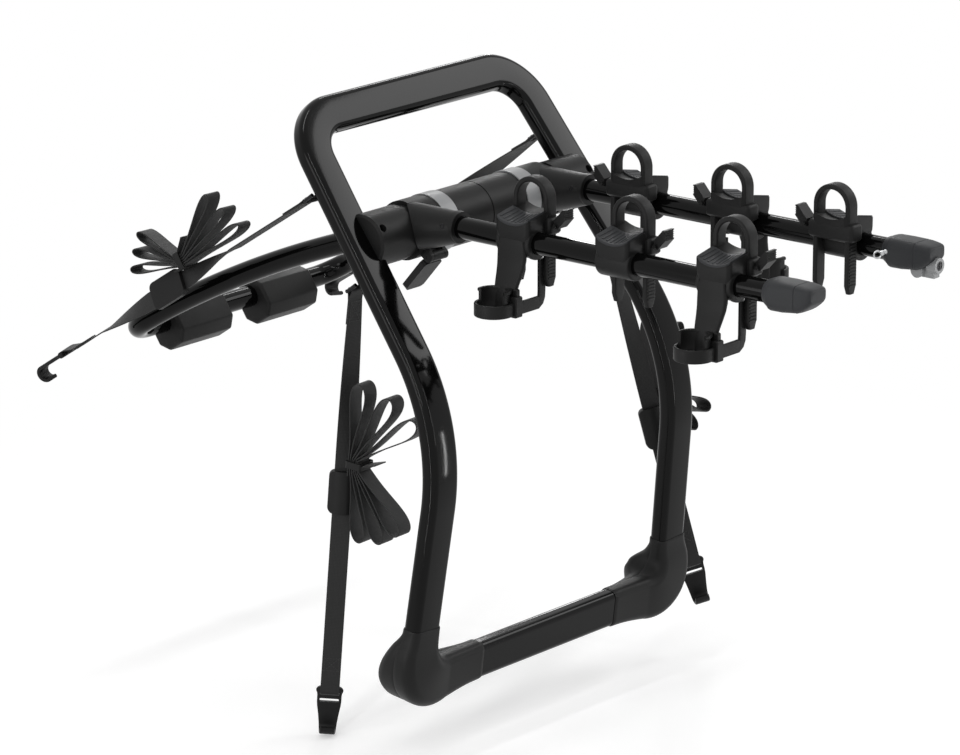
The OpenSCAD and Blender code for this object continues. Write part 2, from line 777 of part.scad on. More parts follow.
cheek = cradle_out - strap_x - strap_w / 2;
ratchet_y = -cradle_len / 2 - 5;
ratchet_z = 22;
module ratchet(side, number) {
    width = strap_w - 2 * side_gap;
    tooth = 1.2;
    teeth = 4;
    color(PLASTIC)
    at_cradle(side, number)
    translate([strap_x, ratchet_y, ratchet_z])
    difference() {
        union() {
            bar_x(ratchet_pin_r, -strap_w / 2 - cheek + fit_gap, strap_w / 2 + cheek - fit_gap);
            rotate([0, 90, 0])
            linear_extrude(width, center = true)
            polygon([
                [ratchet_pin_r + 1, 3], [ratchet_pin_r + 1, -4], [-ratchet_h * 0.4, -ratchet_len],
                [-ratchet_h, -ratchet_len], [-ratchet_h, -ratchet_len + 4], [-ratchet_h * 0.3, 3]
            ]);
        }
        for (i = [1:teeth])
            translate([0, -ratchet_len, ratchet_h * (0.4 + 0.6 * i / (teeth + 1))])
                bar_x(tooth, -strap_w, strap_w);
    }
}

// Anti-sway drop: a collar that swings on the arm, a leaning plate and an open cup for the seat tube
module sway_drop(side, number) {
    root = 4;
    reach = [-cup_out + cup_r - cup_wall, -cup_down + cup_h / 2 - 4];
    color(PLASTIC)
    at_cradle(side, number)
    difference() {
        union() {
            bar_y(drop_r, -drop_len / 2, drop_len / 2);
            difference() {
                rotate([90, 0, 0])
                linear_extrude(2 * (cup_r - cup_shift), center = true)
                polygon([
                    [-drop_plate_t - root, -arm_r], [root, -arm_r],
                    [reach.x + drop_plate_t, reach.y - cup_h * 3 / 4], [reach.x, reach.y - cup_h * 3 / 4], reach
                ]);
                translate([-cup_out, cup_shift, -cup_down])
                    cylinder(r = cup_r - cup_wall / 2, h = 2 * cup_h, center = true);
            }
            translate([-cup_out, cup_shift, -cup_down - cup_h / 2])
            rotate([0, 0, -105]) rotate_extrude(angle = 210) translate([cup_r - cup_wall, 0]) square([cup_wall, cup_h]);
        }
        bar_y(arm_r + slide_gap, -drop_len, drop_len);
    }
}

// Anti-sway strap: a band round the open side of the cup with a tail towards the arm
module sway_strap(side, number) {
    band_r = cup_r + fit_gap;
    color(RUBBER)
    at_cradle(side, number)
    translate([-cup_out, cup_shift, -cup_down - cup_h / 2 + 1]) {
        rotate([0, 0, 90]) rotate_extrude(angle = 180) translate([band_r, 0]) square([sway_t, sway_w]);
        translate([0, -band_r - sway_t, 0]) cube([sway_tail, sway_t, sway_w]);
        translate([0, band_r, 0]) cube([4, sway_t, sway_w]);
    }
}

module near_cradle_1() cradle(NEAR, 1);
module near_cradle_2() cradle(NEAR, 2);
module near_cradle_3() cradle(NEAR, 3);
module far_cradle_1() cradle(FAR, 1);
module far_cradle_2() cradle(FAR, 2);
module far_cradle_3() cradle(FAR, 3);
module near_saddle_pad_1() saddle_pad(NEAR, 1);
module near_saddle_pad_2() saddle_pad(NEAR, 2);
module near_saddle_pad_3() saddle_pad(NEAR, 3);
module far_saddle_pad_1() saddle_pad(FAR, 1);
module far_saddle_pad_2() saddle_pad(FAR, 2);
module far_saddle_pad_3() saddle_pad(FAR, 3);
module near_cradle_strap_1() cradle_strap(NEAR, 1);
module near_cradle_strap_2() cradle_strap(NEAR, 2);
module near_cradle_strap_3() cradle_strap(NEAR, 3);
module far_cradle_strap_1() cradle_strap(FAR, 1);
module far_cradle_strap_2() cradle_strap(FAR, 2);
module far_cradle_strap_3() cradle_strap(FAR, 3);
module near_ratchet_1() ratchet(NEAR, 1);
module near_ratchet_2() ratchet(NEAR, 2);
module near_ratchet_3() ratchet(NEAR, 3);
module far_ratchet_1() ratchet(FAR, 1);
module far_ratchet_2() ratchet(FAR, 2);
module far_ratchet_3() ratchet(FAR, 3);
module near_sway_drop_1() sway_drop(NEAR, 1);
module near_sway_drop_3() sway_drop(NEAR, 3);
module far_sway_drop_2() sway_drop(FAR, 2);
module near_sway_strap_1() sway_strap(NEAR, 1);
module near_sway_strap_3() sway_strap(NEAR, 3);
module far_sway_strap_2() sway_strap(FAR, 2);

// Trunk leg: hoop, knuckles and pads
module leg_hoop() {
    near_in = [-leg_half_in, leg_start];
    near_out = [-leg_half_out, leg_len];
    far_out = [leg_half_out, leg_len];
    far_in = [leg_half_in, leg_start];
    near_corner = corner(near_in, near_out, far_out, leg_corner_r, CORNER_STEPS);
    far_corner = corner(near_out, far_out, far_in, leg_corner_r, CORNER_STEPS);
    path = concat(
        run(near_in, near_corner[0], LEG_STEPS), near_corner,
        [for (i = [0:CORNER_STEPS - 1]) far_corner[i]],
        run(far_corner[CORNER_STEPS], far_in, LEG_STEPS), [far_in]
    );
    color(PAINT)
    hollow_skin(
        sweep(on_leg, path, round_section(leg_r)),
        sweep(on_leg, path, round_section(leg_r - leg_wall))
    );
}

module leg_knuckles() {
    flare = atan((leg_half_out - leg_half_in) / (leg_len - leg_start));
    mid = (leg_start + socket_end) / 2;
    mid_x = leg_half_in + (mid - leg_start) * tan(flare);
    back = 6;
    color(PLASTIC)
    for (side = [NEAR, FAR])
    mirror([side < 0 ? 1 : 0, 0, 0])
    difference() {
        union() {
            bar_x(knuckle_r, knuckle_mid - knuckle_w / 2, knuckle_mid + knuckle_w / 2);
            rotate([-leg_angle(mid / 2), 0, 0])
                block([knuckle_mid - knuckle_w / 2, 0, -socket_r + 3], [knuckle_mid + knuckle_w / 2, mid, socket_r - 3]);
            translate(on_leg(mid_x, mid, 0)) rotate([-leg_angle(mid), 0, 0]) rotate([0, 0, -flare])
                bar_y(socket_r, leg_start - back - mid, socket_end - mid);
        }
        translate(on_leg(mid_x, mid, 0)) rotate([-leg_angle(mid), 0, 0]) rotate([0, 0, -flare])
            bar_y(leg_r + fit_gap + slide_gap, leg_start - 0.5 - mid, leg_len);
        bar_x(shaft_r + run_gap, 0, bracket_out);
    }
}

module trunk_pad(side) {
    bevel = pad_w / 4;
    color(RUBBER)
    translate(on_leg(side * pad_x, leg_len, 0)) rotate([-leg_angle(leg_len), 0, 0])
    rotate([90, 0, 90])
    linear_extrude(pad_len, center = true)
    difference() {
        polygon([
            [-pad_w / 2 + bevel, pad_up], [pad_w / 2 - bevel, pad_up], [pad_w / 2, pad_up - bevel],
            [pad_w / 2, bevel - pad_down], [pad_w / 2 - bevel, -pad_down],
            [-pad_w / 2 + bevel, -pad_down], [-pad_w / 2, bevel - pad_down], [-pad_w / 2, pad_up - bevel]
        ]);
        circle(leg_r + slide_gap);
    }
}
module near_trunk_pad() trunk_pad(NEAR);
module far_trunk_pad() trunk_pad(FAR);

// Straps: each hangs from a wire anchor behind a side tube
function anchor_point(side, s) = on_frame(side * (frame_w(s) + anchor_out), s, -frame_tube_t / 2 - bail_r);
near_upper_anchor = anchor_point(NEAR, upper_anchor_s);
far_upper_anchor = anchor_point(FAR, upper_anchor_s);
near_lower_anchor = anchor_point(NEAR, lower_anchor_s);
far_lower_anchor = anchor_point(FAR, far_lower_anchor_s);

// A strap's way: its anchor, its hook and the direction across its webbing
function route(anchor, hook) = let (up = unit(anchor - hook)) [anchor, hook, unit([1, 0, 0] - up.x * up)];
near_upper = route(near_upper_anchor, near_upper_hook);
far_upper = route(far_upper_anchor, far_upper_hook);
near_lower = route(near_lower_anchor, near_lower_hook);
far_lower = route(far_lower_anchor, far_lower_hook);

module rod(p, q, r) {
    d = unit(q - p);
    translate(p) rotate([0, acos(d.z), atan2(d.y, d.x)]) cylinder(r = r, h = norm(q - p));
}

// Wire bails: a bar across each strap and two legs to the back of the side tube
module strap_anchors() {
    back = [0, cos(upper_lean), -sin(upper_lean)];
    color(STEEL)
    for (way = [near_upper, far_upper, near_lower, far_lower]) {
        middle = way[0];
        across = way[2];
        rod(middle - (bail_half + bail_wire_r) * across, middle + (bail_half + bail_wire_r) * across, bail_wire_r);
        for (end = [-bail_half, bail_half])
            rod(middle + end * across - (bail_r - fit_gap + end * across * back) * back, middle + end * across, bail_wire_r);
    }
}

// Local frame of a strap: origin at its anchor, Z back up the strap, X across the webbing
module along_strap(way) {
    up = unit(way[0] - way[1]);
    x = way[2];
    y = cross(up, x);
    multmatrix([
        [x.x, y.x, up.x, way[0].x], [x.y, y.y, up.y, way[0].y], [x.z, y.z, up.z, way[0].z], [0, 0, 0, 1]
    ]) children();
}

// Webbing from z0 down to z1 that turns about its own length, but not where it is held at its ends
module band(z0, z1, turn0, turn1, held0, held1) {
    steps = turn0 == turn1 ? 1 : BAND_STEPS;
    places = concat(
        [[z1, turn1]],
        [for (i = [0:steps])
            [z1 + held1 + (z0 - held0 - z1 - held1) * i / steps, turn1 + (turn0 - turn1) * i / steps]],
        [[z0, turn0]]
    );
    skin([for (place = places)
        let (a = place[1])
        [for (q = [[1, 1], [-1, 1], [-1, -1], [1, -1]])
            let (x = q.x * web_w / 2, y = q.y * web_t / 2)
            [x * cos(a) - y * sin(a), x * sin(a) + y * cos(a), place[0]]]
    ]);
}

// A loop of a hank: a teardrop on the line at angle dir, from one run of webbing to the next
function loop_points(base, dir, length, bulge, end) = [
    for (i = [0:LOOP_STEPS])
        let (
            u = 180 * i / LOOP_STEPS,
            out = length * sin(u),
            aside = -hank_pitch / 2 * cos(u) - bulge * sin(2 * u) * sin(u),
            p = base + out * [sin(dir), cos(dir)] + aside * [cos(dir), -sin(dir)]
        )
        [p.x, end * p.y]
];
// The whole run of a hank: loops up and down in turn, one step further at each pass of the waist
function hank_path(loops, up, down, lead) =
    let (last = up[1] + loops * up[2])
    concat(
        [[0, -hank_waist / 2 - lead]],
        [for (k = [0:loops - 1]) each concat(
            loop_points([(2 * k + 0.5) * hank_pitch, hank_waist / 2], up[1] + k * up[2], up[0], openness(up), 1),
            loop_points([(2 * k + 1.5) * hank_pitch, hank_waist / 2], down[1] + k * down[2], down[0], openness(down), -1)
        )],
        [[2 * loops * hank_pitch, 0], [2 * loops * hank_pitch, 0] + web_w * [sin(last), cos(last)]]
    );
// A fan of loops is its length, its first angle and its step; its loops open as far as the step lets them
function openness(fan) = 0.7 * tan(fan[2] / 2) * fan[0];
// Least gap between runs of a path that are more than a few points apart
function least_gap(path) = min([
    for (i = [0:len(path) - 1]) for (j = [i + 5:1:len(path) - 1]) norm(path[i] - path[j])
]) - web_t;

module hank(name, path) {
    normal = [for (i = [0:len(path) - 1]) let (d = heading(path, i)) [-d.y, d.x] * web_t / 2];
    count = len(path) - 1;
    echo(str("Least gap in the hank of the ", name, " strap, mm: "), least_gap(path));
    rotate([90, 0, 0])
    linear_extrude(web_w, center = true)
    polygon(concat([for (i = [0:count]) path[i] + normal[i]], [for (i = [0:count]) path[count - i] - normal[count - i]]));
}

// A strap: sewn loop on its anchor, webbing to the buckle, webbing from the buckle to the hook, and its hank
module strap_webbing(name, way, buckle_at, turn, end_turn, hank_turn, path) {
    length = norm(way[0] - way[1]);
    hold = 10;
    loop_r = bail_wire_r + fit_gap + web_t;
    color(WEBBING)
    along_strap(way) {
        difference() {
            union() {
                bar_x(loop_r, -web_w / 2, web_w / 2);
                band(-bail_wire_r - web_t, -buckle_at - hold, 0, turn, hold, 2 * hold);
            }
            bar_x(bail_wire_r + fit_gap, -web_w, web_w);
        }
        band(-buckle_at - buckle_len + hold, -length - hold, turn, end_turn, 2 * hold, 2 * hold);
        rotate([0, 0, hank_turn]) translate([web_w / 2 + web_t, 0, -buckle_at + fit_gap + hank_waist / 2 + hank_lead])
            hank(name, path);
    }
}
hank_lead = 8;

// Buckle with a cover, at a distance down a strap, and the hook at its end
module buckle(way, buckle_at, turn) {
    cover_r = 26;
    along_strap(way) rotate([0, 0, turn])
    translate([0, 0, -buckle_at - buckle_len / 2])
    difference() {
        intersection() {
            rotate([90, 0, 0]) linear_extrude(buckle_t, center = true) rounded_plate(buckle_w, buckle_len, 8);
            translate([0, cover_r - buckle_t / 2, 0]) cylinder(r = cover_r, h = 2 * buckle_len, center = true);
        }
        cube([web_w + 2 * fit_gap, web_t + 2 * fit_gap, 2 * buckle_len], center = true);
    }
}
module hook(way, turn) {
    slot_h = 4;
    slot_gap = 9;
    along_strap(way) rotate([0, 0, turn])
    translate([0, 0, -norm(way[0] - way[1])])
    difference() {
        rotate([90, 0, 90])
        linear_extrude(hook_w, center = true) {
            translate([web_t / 2 + fit_gap, hook_r + hook_t - hook_len]) square([hook_t, hook_len - hook_r - hook_t]);
            translate([web_t / 2 + fit_gap - hook_r, hook_r + hook_t - hook_len])
            difference() {
                circle(hook_r + hook_t);
                circle(hook_r);
                translate([-2 * hook_r - 2 * hook_t, 0]) square(4 * (hook_r + hook_t));
            }
        }
        for (i = [1, 2])
            translate([0, 0, -i * slot_gap]) cube([web_w, 4 * hook_t, slot_h], center = true);
    }
}

// Place of each buckle down its strap, and the turns of the webbing there and at the hook
near_upper_buckle = 252;
far_upper_buckle = 252;
near_lower_buckle = 246;
far_lower_buckle = 208;
near_upper_turn = 78;
near_upper_end_turn = 12;
far_upper_turn = -78;
far_upper_end_turn = -12;
near_lower_turn = -50;
far_lower_turn = -40;
// Turn of each hank about its strap, and its loops above and below the waist: length, first angle and step
near_upper_hank_turn = 90;
near_upper_fans = [[100, 4, 12], [72, 22, 14]];
far_upper_hank_turn = -90;
far_upper_fans = [[52, 6, 20], [46, 27, 18]];
near_lower_hank_turn = -86;
near_lower_fans = [[106, 8, 21], [98, 8, 21]];
far_lower_hank_turn = 0;
far_lower_fans = [[92, 12, 20], [80, 12, 20]];

module near_upper_webbing()
    strap_webbing("near upper", near_upper, near_upper_buckle, near_upper_turn, near_upper_end_turn, near_upper_hank_turn,
        hank_path(3, near_upper_fans[0], near_upper_fans[1], hank_lead));
module far_upper_webbing()
    strap_webbing("far upper", far_upper, far_upper_buckle, far_upper_turn, far_upper_end_turn, far_upper_hank_turn,
        hank_path(2, far_upper_fans[0], far_upper_fans[1], hank_lead));
module near_lower_webbing()
    strap_webbing("near lower", near_lower, near_lower_buckle, near_lower_turn, near_lower_turn, near_lower_hank_turn,
        hank_path(3, near_lower_fans[0], near_lower_fans[1], hank_lead));
module far_lower_webbing()
    strap_webbing("far lower", far_lower, far_lower_buckle, far_lower_turn, far_lower_turn, far_lower_hank_turn,
        hank_path(3, far_lower_fans[0], far_lower_fans[1], hank_lead));

module strap_buckles() {
    color(PLASTIC) {
        buckle(near_upper, near_upper_buckle, near_upper_turn);
        buckle(far_upper, far_upper_buckle, far_upper_turn);
        buckle(near_lower, near_lower_buckle, near_lower_turn);
        buckle(far_lower, far_lower_buckle, far_lower_turn);
    }
}
module strap_hooks() {
    color(PLASTIC) {
        hook(near_upper, near_upper_end_turn);
        hook(far_upper, far_upper_end_turn);
        hook(near_lower, near_lower_turn);
        hook(far_lower, far_lower_turn);
    }
}

frame_hoop();
lower_crossbar();
near_foot_boot();
far_foot_boot();
foot_pads();
near_hub_bracket();
far_hub_bracket();
hub_shaft();
strap_anchors();
near_upper_webbing();
far_upper_webbing();
near_lower_webbing();
far_lower_webbing();
strap_buckles();
strap_hooks();
leg_hoop();
leg_knuckles();
near_trunk_pad();
far_trunk_pad();
near_arm_collar();
far_arm_collar();
hub_barrel();
hub_rings();
near_arm_tube();
far_arm_tube();
near_arm_cap();
far_arm_cap();
lock_body();
lock_core();
release_lever();
near_cradle_1();
near_cradle_2();
near_cradle_3();
far_cradle_1();
far_cradle_2();
far_cradle_3();
near_saddle_pad_1();
near_saddle_pad_2();
near_saddle_pad_3();
far_saddle_pad_1();
far_saddle_pad_2();
far_saddle_pad_3();
near_cradle_strap_1();
near_cradle_strap_2();
near_cradle_strap_3();
far_cradle_strap_1();
far_cradle_strap_2();
far_cradle_strap_3();
near_ratchet_1();
near_ratchet_2();
near_ratchet_3();
far_ratchet_1();
far_ratchet_2();
far_ratchet_3();
near_sway_drop_1();
near_sway_drop_3();
far_sway_drop_2();
near_sway_strap_1();
near_sway_strap_3();
far_sway_strap_2();
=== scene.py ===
"""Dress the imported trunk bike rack: tubes, webbing, rubber straps, caps, fasteners, finishes and stage."""

import math

import bmesh
import bpy
from mathutils import Matrix, Vector


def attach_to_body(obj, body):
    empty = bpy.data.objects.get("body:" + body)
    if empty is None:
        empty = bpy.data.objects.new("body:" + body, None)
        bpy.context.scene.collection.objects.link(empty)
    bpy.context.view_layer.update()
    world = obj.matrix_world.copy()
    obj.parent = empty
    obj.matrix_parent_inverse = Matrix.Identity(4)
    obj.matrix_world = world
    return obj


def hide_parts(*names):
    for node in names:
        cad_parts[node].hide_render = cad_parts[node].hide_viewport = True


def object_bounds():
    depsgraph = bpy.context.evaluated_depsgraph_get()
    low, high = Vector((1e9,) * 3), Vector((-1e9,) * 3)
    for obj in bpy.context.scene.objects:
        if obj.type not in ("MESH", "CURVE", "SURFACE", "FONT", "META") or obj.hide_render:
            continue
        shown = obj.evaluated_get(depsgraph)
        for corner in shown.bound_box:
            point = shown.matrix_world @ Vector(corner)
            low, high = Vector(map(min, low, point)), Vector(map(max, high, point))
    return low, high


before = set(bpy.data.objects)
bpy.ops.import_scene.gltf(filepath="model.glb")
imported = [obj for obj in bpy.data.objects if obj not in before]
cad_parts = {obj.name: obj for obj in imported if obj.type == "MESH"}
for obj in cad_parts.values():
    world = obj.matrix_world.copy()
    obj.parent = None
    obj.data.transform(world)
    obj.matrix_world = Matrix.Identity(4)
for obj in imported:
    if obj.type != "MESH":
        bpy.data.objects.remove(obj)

bl_info = {
    "name": "Trunk bike rack dressing",
    "version": (1, 0, 0),
    "blender": (4, 5, 0),
    "location": "3D View > Sidebar > Rack",
    "description": "Gives the trunk bike rack its finishes, webbing, rubber straps and fasteners",
    "category": "Object",
}

CAD_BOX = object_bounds()
MM = 0.001
NEAR, FAR = -1, 1
SIDES = {"near": NEAR, "far": FAR}
X, Y, Z = Vector((1, 0, 0)), Vector((0, 1, 0)), Vector((0, 0, 1))

# Sizes and places shared with the part's source, in millimetres, with angles written in degrees
FRAME_TUBE = (50, 25, 9)
FRAME_HALF, FRAME_SPLAY = 223, 0.0575
UPPER_LEAN, LOWER_LEAN = math.radians(37.5), math.radians(7)
UPPER_LEN, BEND_R, LOWER_LEN = 157, 270, 232
BEND_END = UPPER_LEN + BEND_R * (UPPER_LEAN + LOWER_LEAN)
CROSS_S = BEND_END + LOWER_LEN
HANDLE_UP, HANDLE_R = 176, 60
BOOT_UP, BOOT_SEAM_X, BOOT_WALL, BOOT_R, BOOT_SWELL, BOOT_BELLY = 76, 136, 1.5, 48, 20, 6
FOOT_DEPTH = 24
LEG_FALL, LEG_SAG, LEG_LEN = math.radians(15.5), math.radians(18.5), 470
LEG_BEND_R = LEG_LEN / LEG_SAG
LEG_R, LEG_HALF_IN, LEG_HALF_OUT, LEG_CORNER_R, LEG_START = 14.5, 150, 212, 40, 50
PAD_LEN, PAD_X, PAD_W, PAD_UP, PAD_DOWN = 102, 86, 54, 20, 38
ARM_X, ARM_Z, ARM_R = 130, 18, 14.3
CRADLES = {"near": (193, 352, 510), "far": (181, 344, 506)}
CRADLE_STRAP = {"x": 24.4, "width": 19, "thick": 7, "span": 56, "top": 79, "tail": 60}
CRADLE_HALF, CRADLE_R = 27, 21.5
SADDLE = {"low": 23, "rise": 8, "slope": 0.2, "front": 22, "back": 14}
DROPS = {"near": (1, 3), "far": (2,)}
CUP = {"out": 50, "down": 72, "radius": 21, "wall": 3.5, "height": 34, "shift": 5}
SWAY = {"height": 17, "thick": 4, "tail": 66}
CAPS = {"near": 580, "far": 571}
CAP_LEN = 74
BRACKET = {"out": 217, "in": 150, "radius": 36}
ANCHOR_OUT, BAIL_DROP = 8, 17
FIT = 0.15
BUCKLE_LEN, HANK_WAIST, HANK_LEAD, HANK_PITCH = 58, 16, 8, 3
# Each strap: side, anchor's place on the side tube, hook, buckle's place, turns at the buckle, hook and hank,
# number of loops, and the loops' length, first angle and step above and below the waist
STRAPS = {
    "near_upper": (NEAR, -82, (-262, 478, -222), 252, 78, 12, 90, 3, (100, 4, 12), (72, 22, 14)),
    "far_upper": (FAR, -82, (262, 435, -205), 252, -78, -12, -90, 2, (52, 6, 20), (46, 27, 18)),
    "near_lower": (NEAR, 48, (-240, 39, -600), 246, -50, -50, -86, 3, (106, 8, 21), (98, 8, 21)),
    "far_lower": (FAR, 118, (322, -118, -532), 208, -40, -40, 0, 3, (92, 12, 20), (80, 12, 20)),
}
# Length over which a strap twists on each side of its buckle, where that isn't its whole run
SHORT_TWISTS, WHOLE_RUN = {"near_upper": 90}, 999
# Height at which a strap's sewn loop on its anchor closes, and the gap between the layers sewn there
SEWN_FROM, SEWN_GAP = -14, 0.1

# Each finish: its material, spread of tone, size of its patches and of its grain in millimetres, depth of the
# grain, lowest and highest roughness, and the shader's own values
FINISHES = {
    # Powder coat baked on steel: deep black, clear streaks of light and a faint orange peel of about 3 mm
    "paint": {
        "name": "Gloss_powder_coat", "spread": 0.2, "patch": 60, "grain": 3, "depth": 0.02,
        "rough": (0.07, 0.11), "shader": {"Specular IOR Level": 0.13}},
    # Glass-filled nylon from a spark-eroded mould: charcoal with a soft sheen, its 0.4 mm grain drawn at 1 mm
    "plastic": {
        "name": "Moulded_glass_filled_nylon", "spread": 0.22, "patch": 35, "grain": 1, "depth": 0.25,
        "rough": (0.36, 0.48), "shader": {"Specular IOR Level": 0.13}},
    # Injection-moulded thermoplastic rubber: dull dark grey with a dry sheen and a fine grain drawn at 1.2 mm
    "grey_rubber": {
        "name": "Grey_thermoplastic_rubber", "spread": 0.16, "patch": 22, "grain": 1.2, "depth": 0.3,
        "rough": (0.45, 0.58), "shader": {"Specular IOR Level": 0.2, "Sheen Weight": 0.04}},
    # Compression-moulded EPDM rubber: soft black, uneven gloss where the mould released it
    "black_rubber": {
        "name": "Black_EPDM_rubber", "spread": 0.25, "patch": 18, "grain": 1.4, "depth": 0.3,
        "rough": (0.4, 0.56), "shader": {"Specular IOR Level": 0.15, "Sheen Weight": 0.02}},
    # Satin acetal: pale grey with a low even gloss and a grain drawn at 1 mm
    "light_grey_plastic": {
        "name": "Light_grey_acetal", "spread": 0.07, "patch": 25, "grain": 1, "depth": 0.15,
        "rough": (0.34, 0.44), "shader": {}},
    # Zinc-plated steel wire and rod: bright, slightly clouded by the plating
    "steel": {
        "name": "Zinc_plated_steel", "spread": 0.12, "patch": 8, "grain": 0.8, "depth": 0.1,
        "rough": (0.22, 0.38), "shader": {"Metallic": 1.0}},
    # Black-oxide steel screw: dark metal with a satin face
    "black_steel": {
        "name": "Black_oxide_steel", "spread": 0.2, "patch": 5, "grain": 0.8, "depth": 0.1,
        "rough": (0.3, 0.42), "shader": {"Metallic": 1.0}},
    # Bonded polyester thread: black with a slight shine
    "thread": {
        "name": "Bonded_polyester_thread", "spread": 0.2, "patch": 6, "grain": 0.6, "depth": 0.2,
        "rough": (0.4, 0.5), "shader": {}},
    # Woven polyester: matt black bands; painted highlight on the cords and picks, painted shade between them
    "webbing": {"name": "Woven_polyester_webbing"},
}


def linear(hex_colour):
    """Linear RGB of an sRGB hex colour."""
    parts = [int(hex_colour[i:i + 2], 16) / 255 for i in (1, 3, 5)]
    return tuple(c / 12.92 if c <= 0.04045 else ((c + 0.055) / 1.055) ** 2.4 for c in parts)


def colour_property(name, description, hex_colour):
    return bpy.props.FloatVectorProperty(
        name=name, description=description, subtype="COLOR", size=3, min=0, max=1, default=linear(hex_colour))


def length_property(name, description, millimetres):
    return bpy.props.FloatProperty(
        name=name, description=description, unit="LENGTH", min=0, precision=5, default=millimetres * MM)


class RackSizes(bpy.types.PropertyGroup):
    web_width: length_property("Webbing width", "Width of the strap webbing", 25)
    web_thick: length_property("Webbing thickness", "Thickness of the strap webbing", 1.6)
    tie_height: length_property("Tie height", "Height of the band round a hank", 9)
    stitch: length_property("Stitch", "Length of one stitch", 2.6)
    stitch_step: length_property("Stitch step", "Distance from stitch to stitch", 4)
    rib_step: length_property("Rib step", "Distance from rib to rib on a cradle strap", 4.2)
    rib_height: length_property("Rib height", "Height of a rib on a cradle strap", 1.1)
    bolt_head: length_property("Bolt head", "Radius of a bracket bolt's head", 4.9)
    screw_head: length_property("Screw head", "Radius of a collar screw's head", 3.4)


class RackFinishes(bpy.types.PropertyGroup):
    paint: colour_property("Paint", "Gloss paint of the tubes", "#060606")
    plastic: colour_property("Plastic", "Moulded hub, cradles and buckles", "#1a1a1a")
    grey_rubber: colour_property("Grey rubber", "Arm caps and saddle pads", "#2c2d2f")
    black_rubber: colour_property("Black rubber", "Trunk pads, feet and cradle straps", "#171717")
    light_grey_plastic: colour_property("Light grey plastic", "Hub rings and lock", "#8a8b8c")
    steel: colour_property("Steel", "Shaft and cable end", "#b9babb")
    black_steel: colour_property("Black steel", "Screws, strap anchors and lock core", "#2a2a2b")
    webbing: colour_property("Webbing", "Woven straps", "#121212")
    thread: colour_property("Thread", "Stitches of the straps", "#1c1c1c")
    floor: colour_property("Floor", "Studio floor", "#f7f7f7")


# Flat paths and sections

def run(p, q, n):
    """Points from p towards q, without q."""
    p, q = Vector(p), Vector(q)
    return [p + (q - p) * (i / n) for i in range(n)]


def corner(p, c, q, r, n):
    """Rounded corner at c between the runs from p and to q."""
    p, c, q = Vector(p), Vector(c), Vector(q)
    u, v = (p - c).normalized(), (q - c).normalized()
    half = math.acos(u.dot(v)) / 2
    middle = c + (u + v).normalized() * (r / math.sin(half))
    first = c + u * (r / math.tan(half)) - middle
    start = math.atan2(first.y, first.x)
    turn = (-1 if u.x * v.y - u.y * v.x > 0 else 1) * (math.pi - 2 * half)
    angles = [start + turn * i / n for i in range(n + 1)]
    return [middle + r * Vector((math.cos(a), math.sin(a))) for a in angles]


def round_rect(w, t, r, steps=8):
    """Outline of a rectangle, w by t, with rounded corners."""
    points = []
    for q in range(4):
        cx = (w / 2 - r) * (1 if q in (0, 3) else -1)
        cy = (t / 2 - r) * (1 if q < 2 else -1)
        for i in range(steps + 1):
            a = math.pi / 2 * (q + i / steps)
            points.append(Vector((cx + r * math.cos(a), cy + r * math.sin(a))))
    return points


def circle(r, sides=32):
    angles = [2 * math.pi * i / sides for i in range(sides)]
    return [Vector((r * math.cos(a), r * math.sin(a))) for a in angles]


def rounded_inset(edge, d):
    """How far a rounded edge draws in at a distance from the end."""
    return edge - math.sqrt(edge ** 2 - (edge - d) ** 2)


def rounded_end(edge, steps):
    """Distances from the end along a rounded edge, each with how far the edge draws in there."""
    far = [edge * (1 - math.cos(math.pi / 2 * k / steps)) for k in range(steps + 1)]
    return [(d, rounded_inset(edge, d)) for d in far]


def frame_w(s):
    """Half width of the frame at a place down its side profile."""
    return FRAME_HALF + FRAME_SPLAY * s


def on_frame(x, s, b):
    """Point across x, down the frame's side profile s, and b in front of it."""
    if s < UPPER_LEN:
        lean = UPPER_LEAN
    elif s < BEND_END:
        lean = UPPER_LEAN - (s - UPPER_LEN) / BEND_R
    else:
        lean = -LOWER_LEAN
    top, low = min(s, UPPER_LEN), max(s - BEND_END, 0)
    y = -top * math.sin(UPPER_LEAN) + BEND_R * (math.cos(UPPER_LEAN) - math.cos(lean))
    z = -top * math.cos(UPPER_LEAN) + BEND_R * (math.sin(lean) - math.sin(UPPER_LEAN))
    y += low * math.sin(LOWER_LEAN)
    z -= low * math.cos(LOWER_LEAN)
    return Vector((x, y - b * math.cos(lean), z + b * math.sin(lean)))


def on_leg(x, t, b):
    """Point across x, out along the leg's side profile t, and b below it."""
    a = LEG_FALL + LEG_SAG * t / LEG_LEN
    return Vector((
        x,
        LEG_BEND_R * (math.sin(a) - math.sin(LEG_FALL)) - b * math.sin(a),
        LEG_BEND_R * (math.cos(a) - math.cos(LEG_FALL)) - b * math.cos(a)))


def directions(path):
    """Way along a path at each of its points."""
    last = len(path) - 1
    return [(path[min(i + 1, last)] - path[max(i - 1, 0)]).normalized() for i in range(last + 1)]


def sweep(on, path, section_at):
    """Rings of a section carried along a flat path on a surface."""
    rings = []
    for i, (p, d) in enumerate(zip(path, directions(path))):
        rings.append([on(p.x + q.x * d.y, p.y - q.x * d.x, q.y) for q in section_at(i)])
    return rings


def lengths(path):
    """Distance of each point of a path from its start."""
    far = [0.0]
    for a, b in zip(path, path[1:]):
        far.append(far[-1] + (b - a).length)
    return far


# Meshes

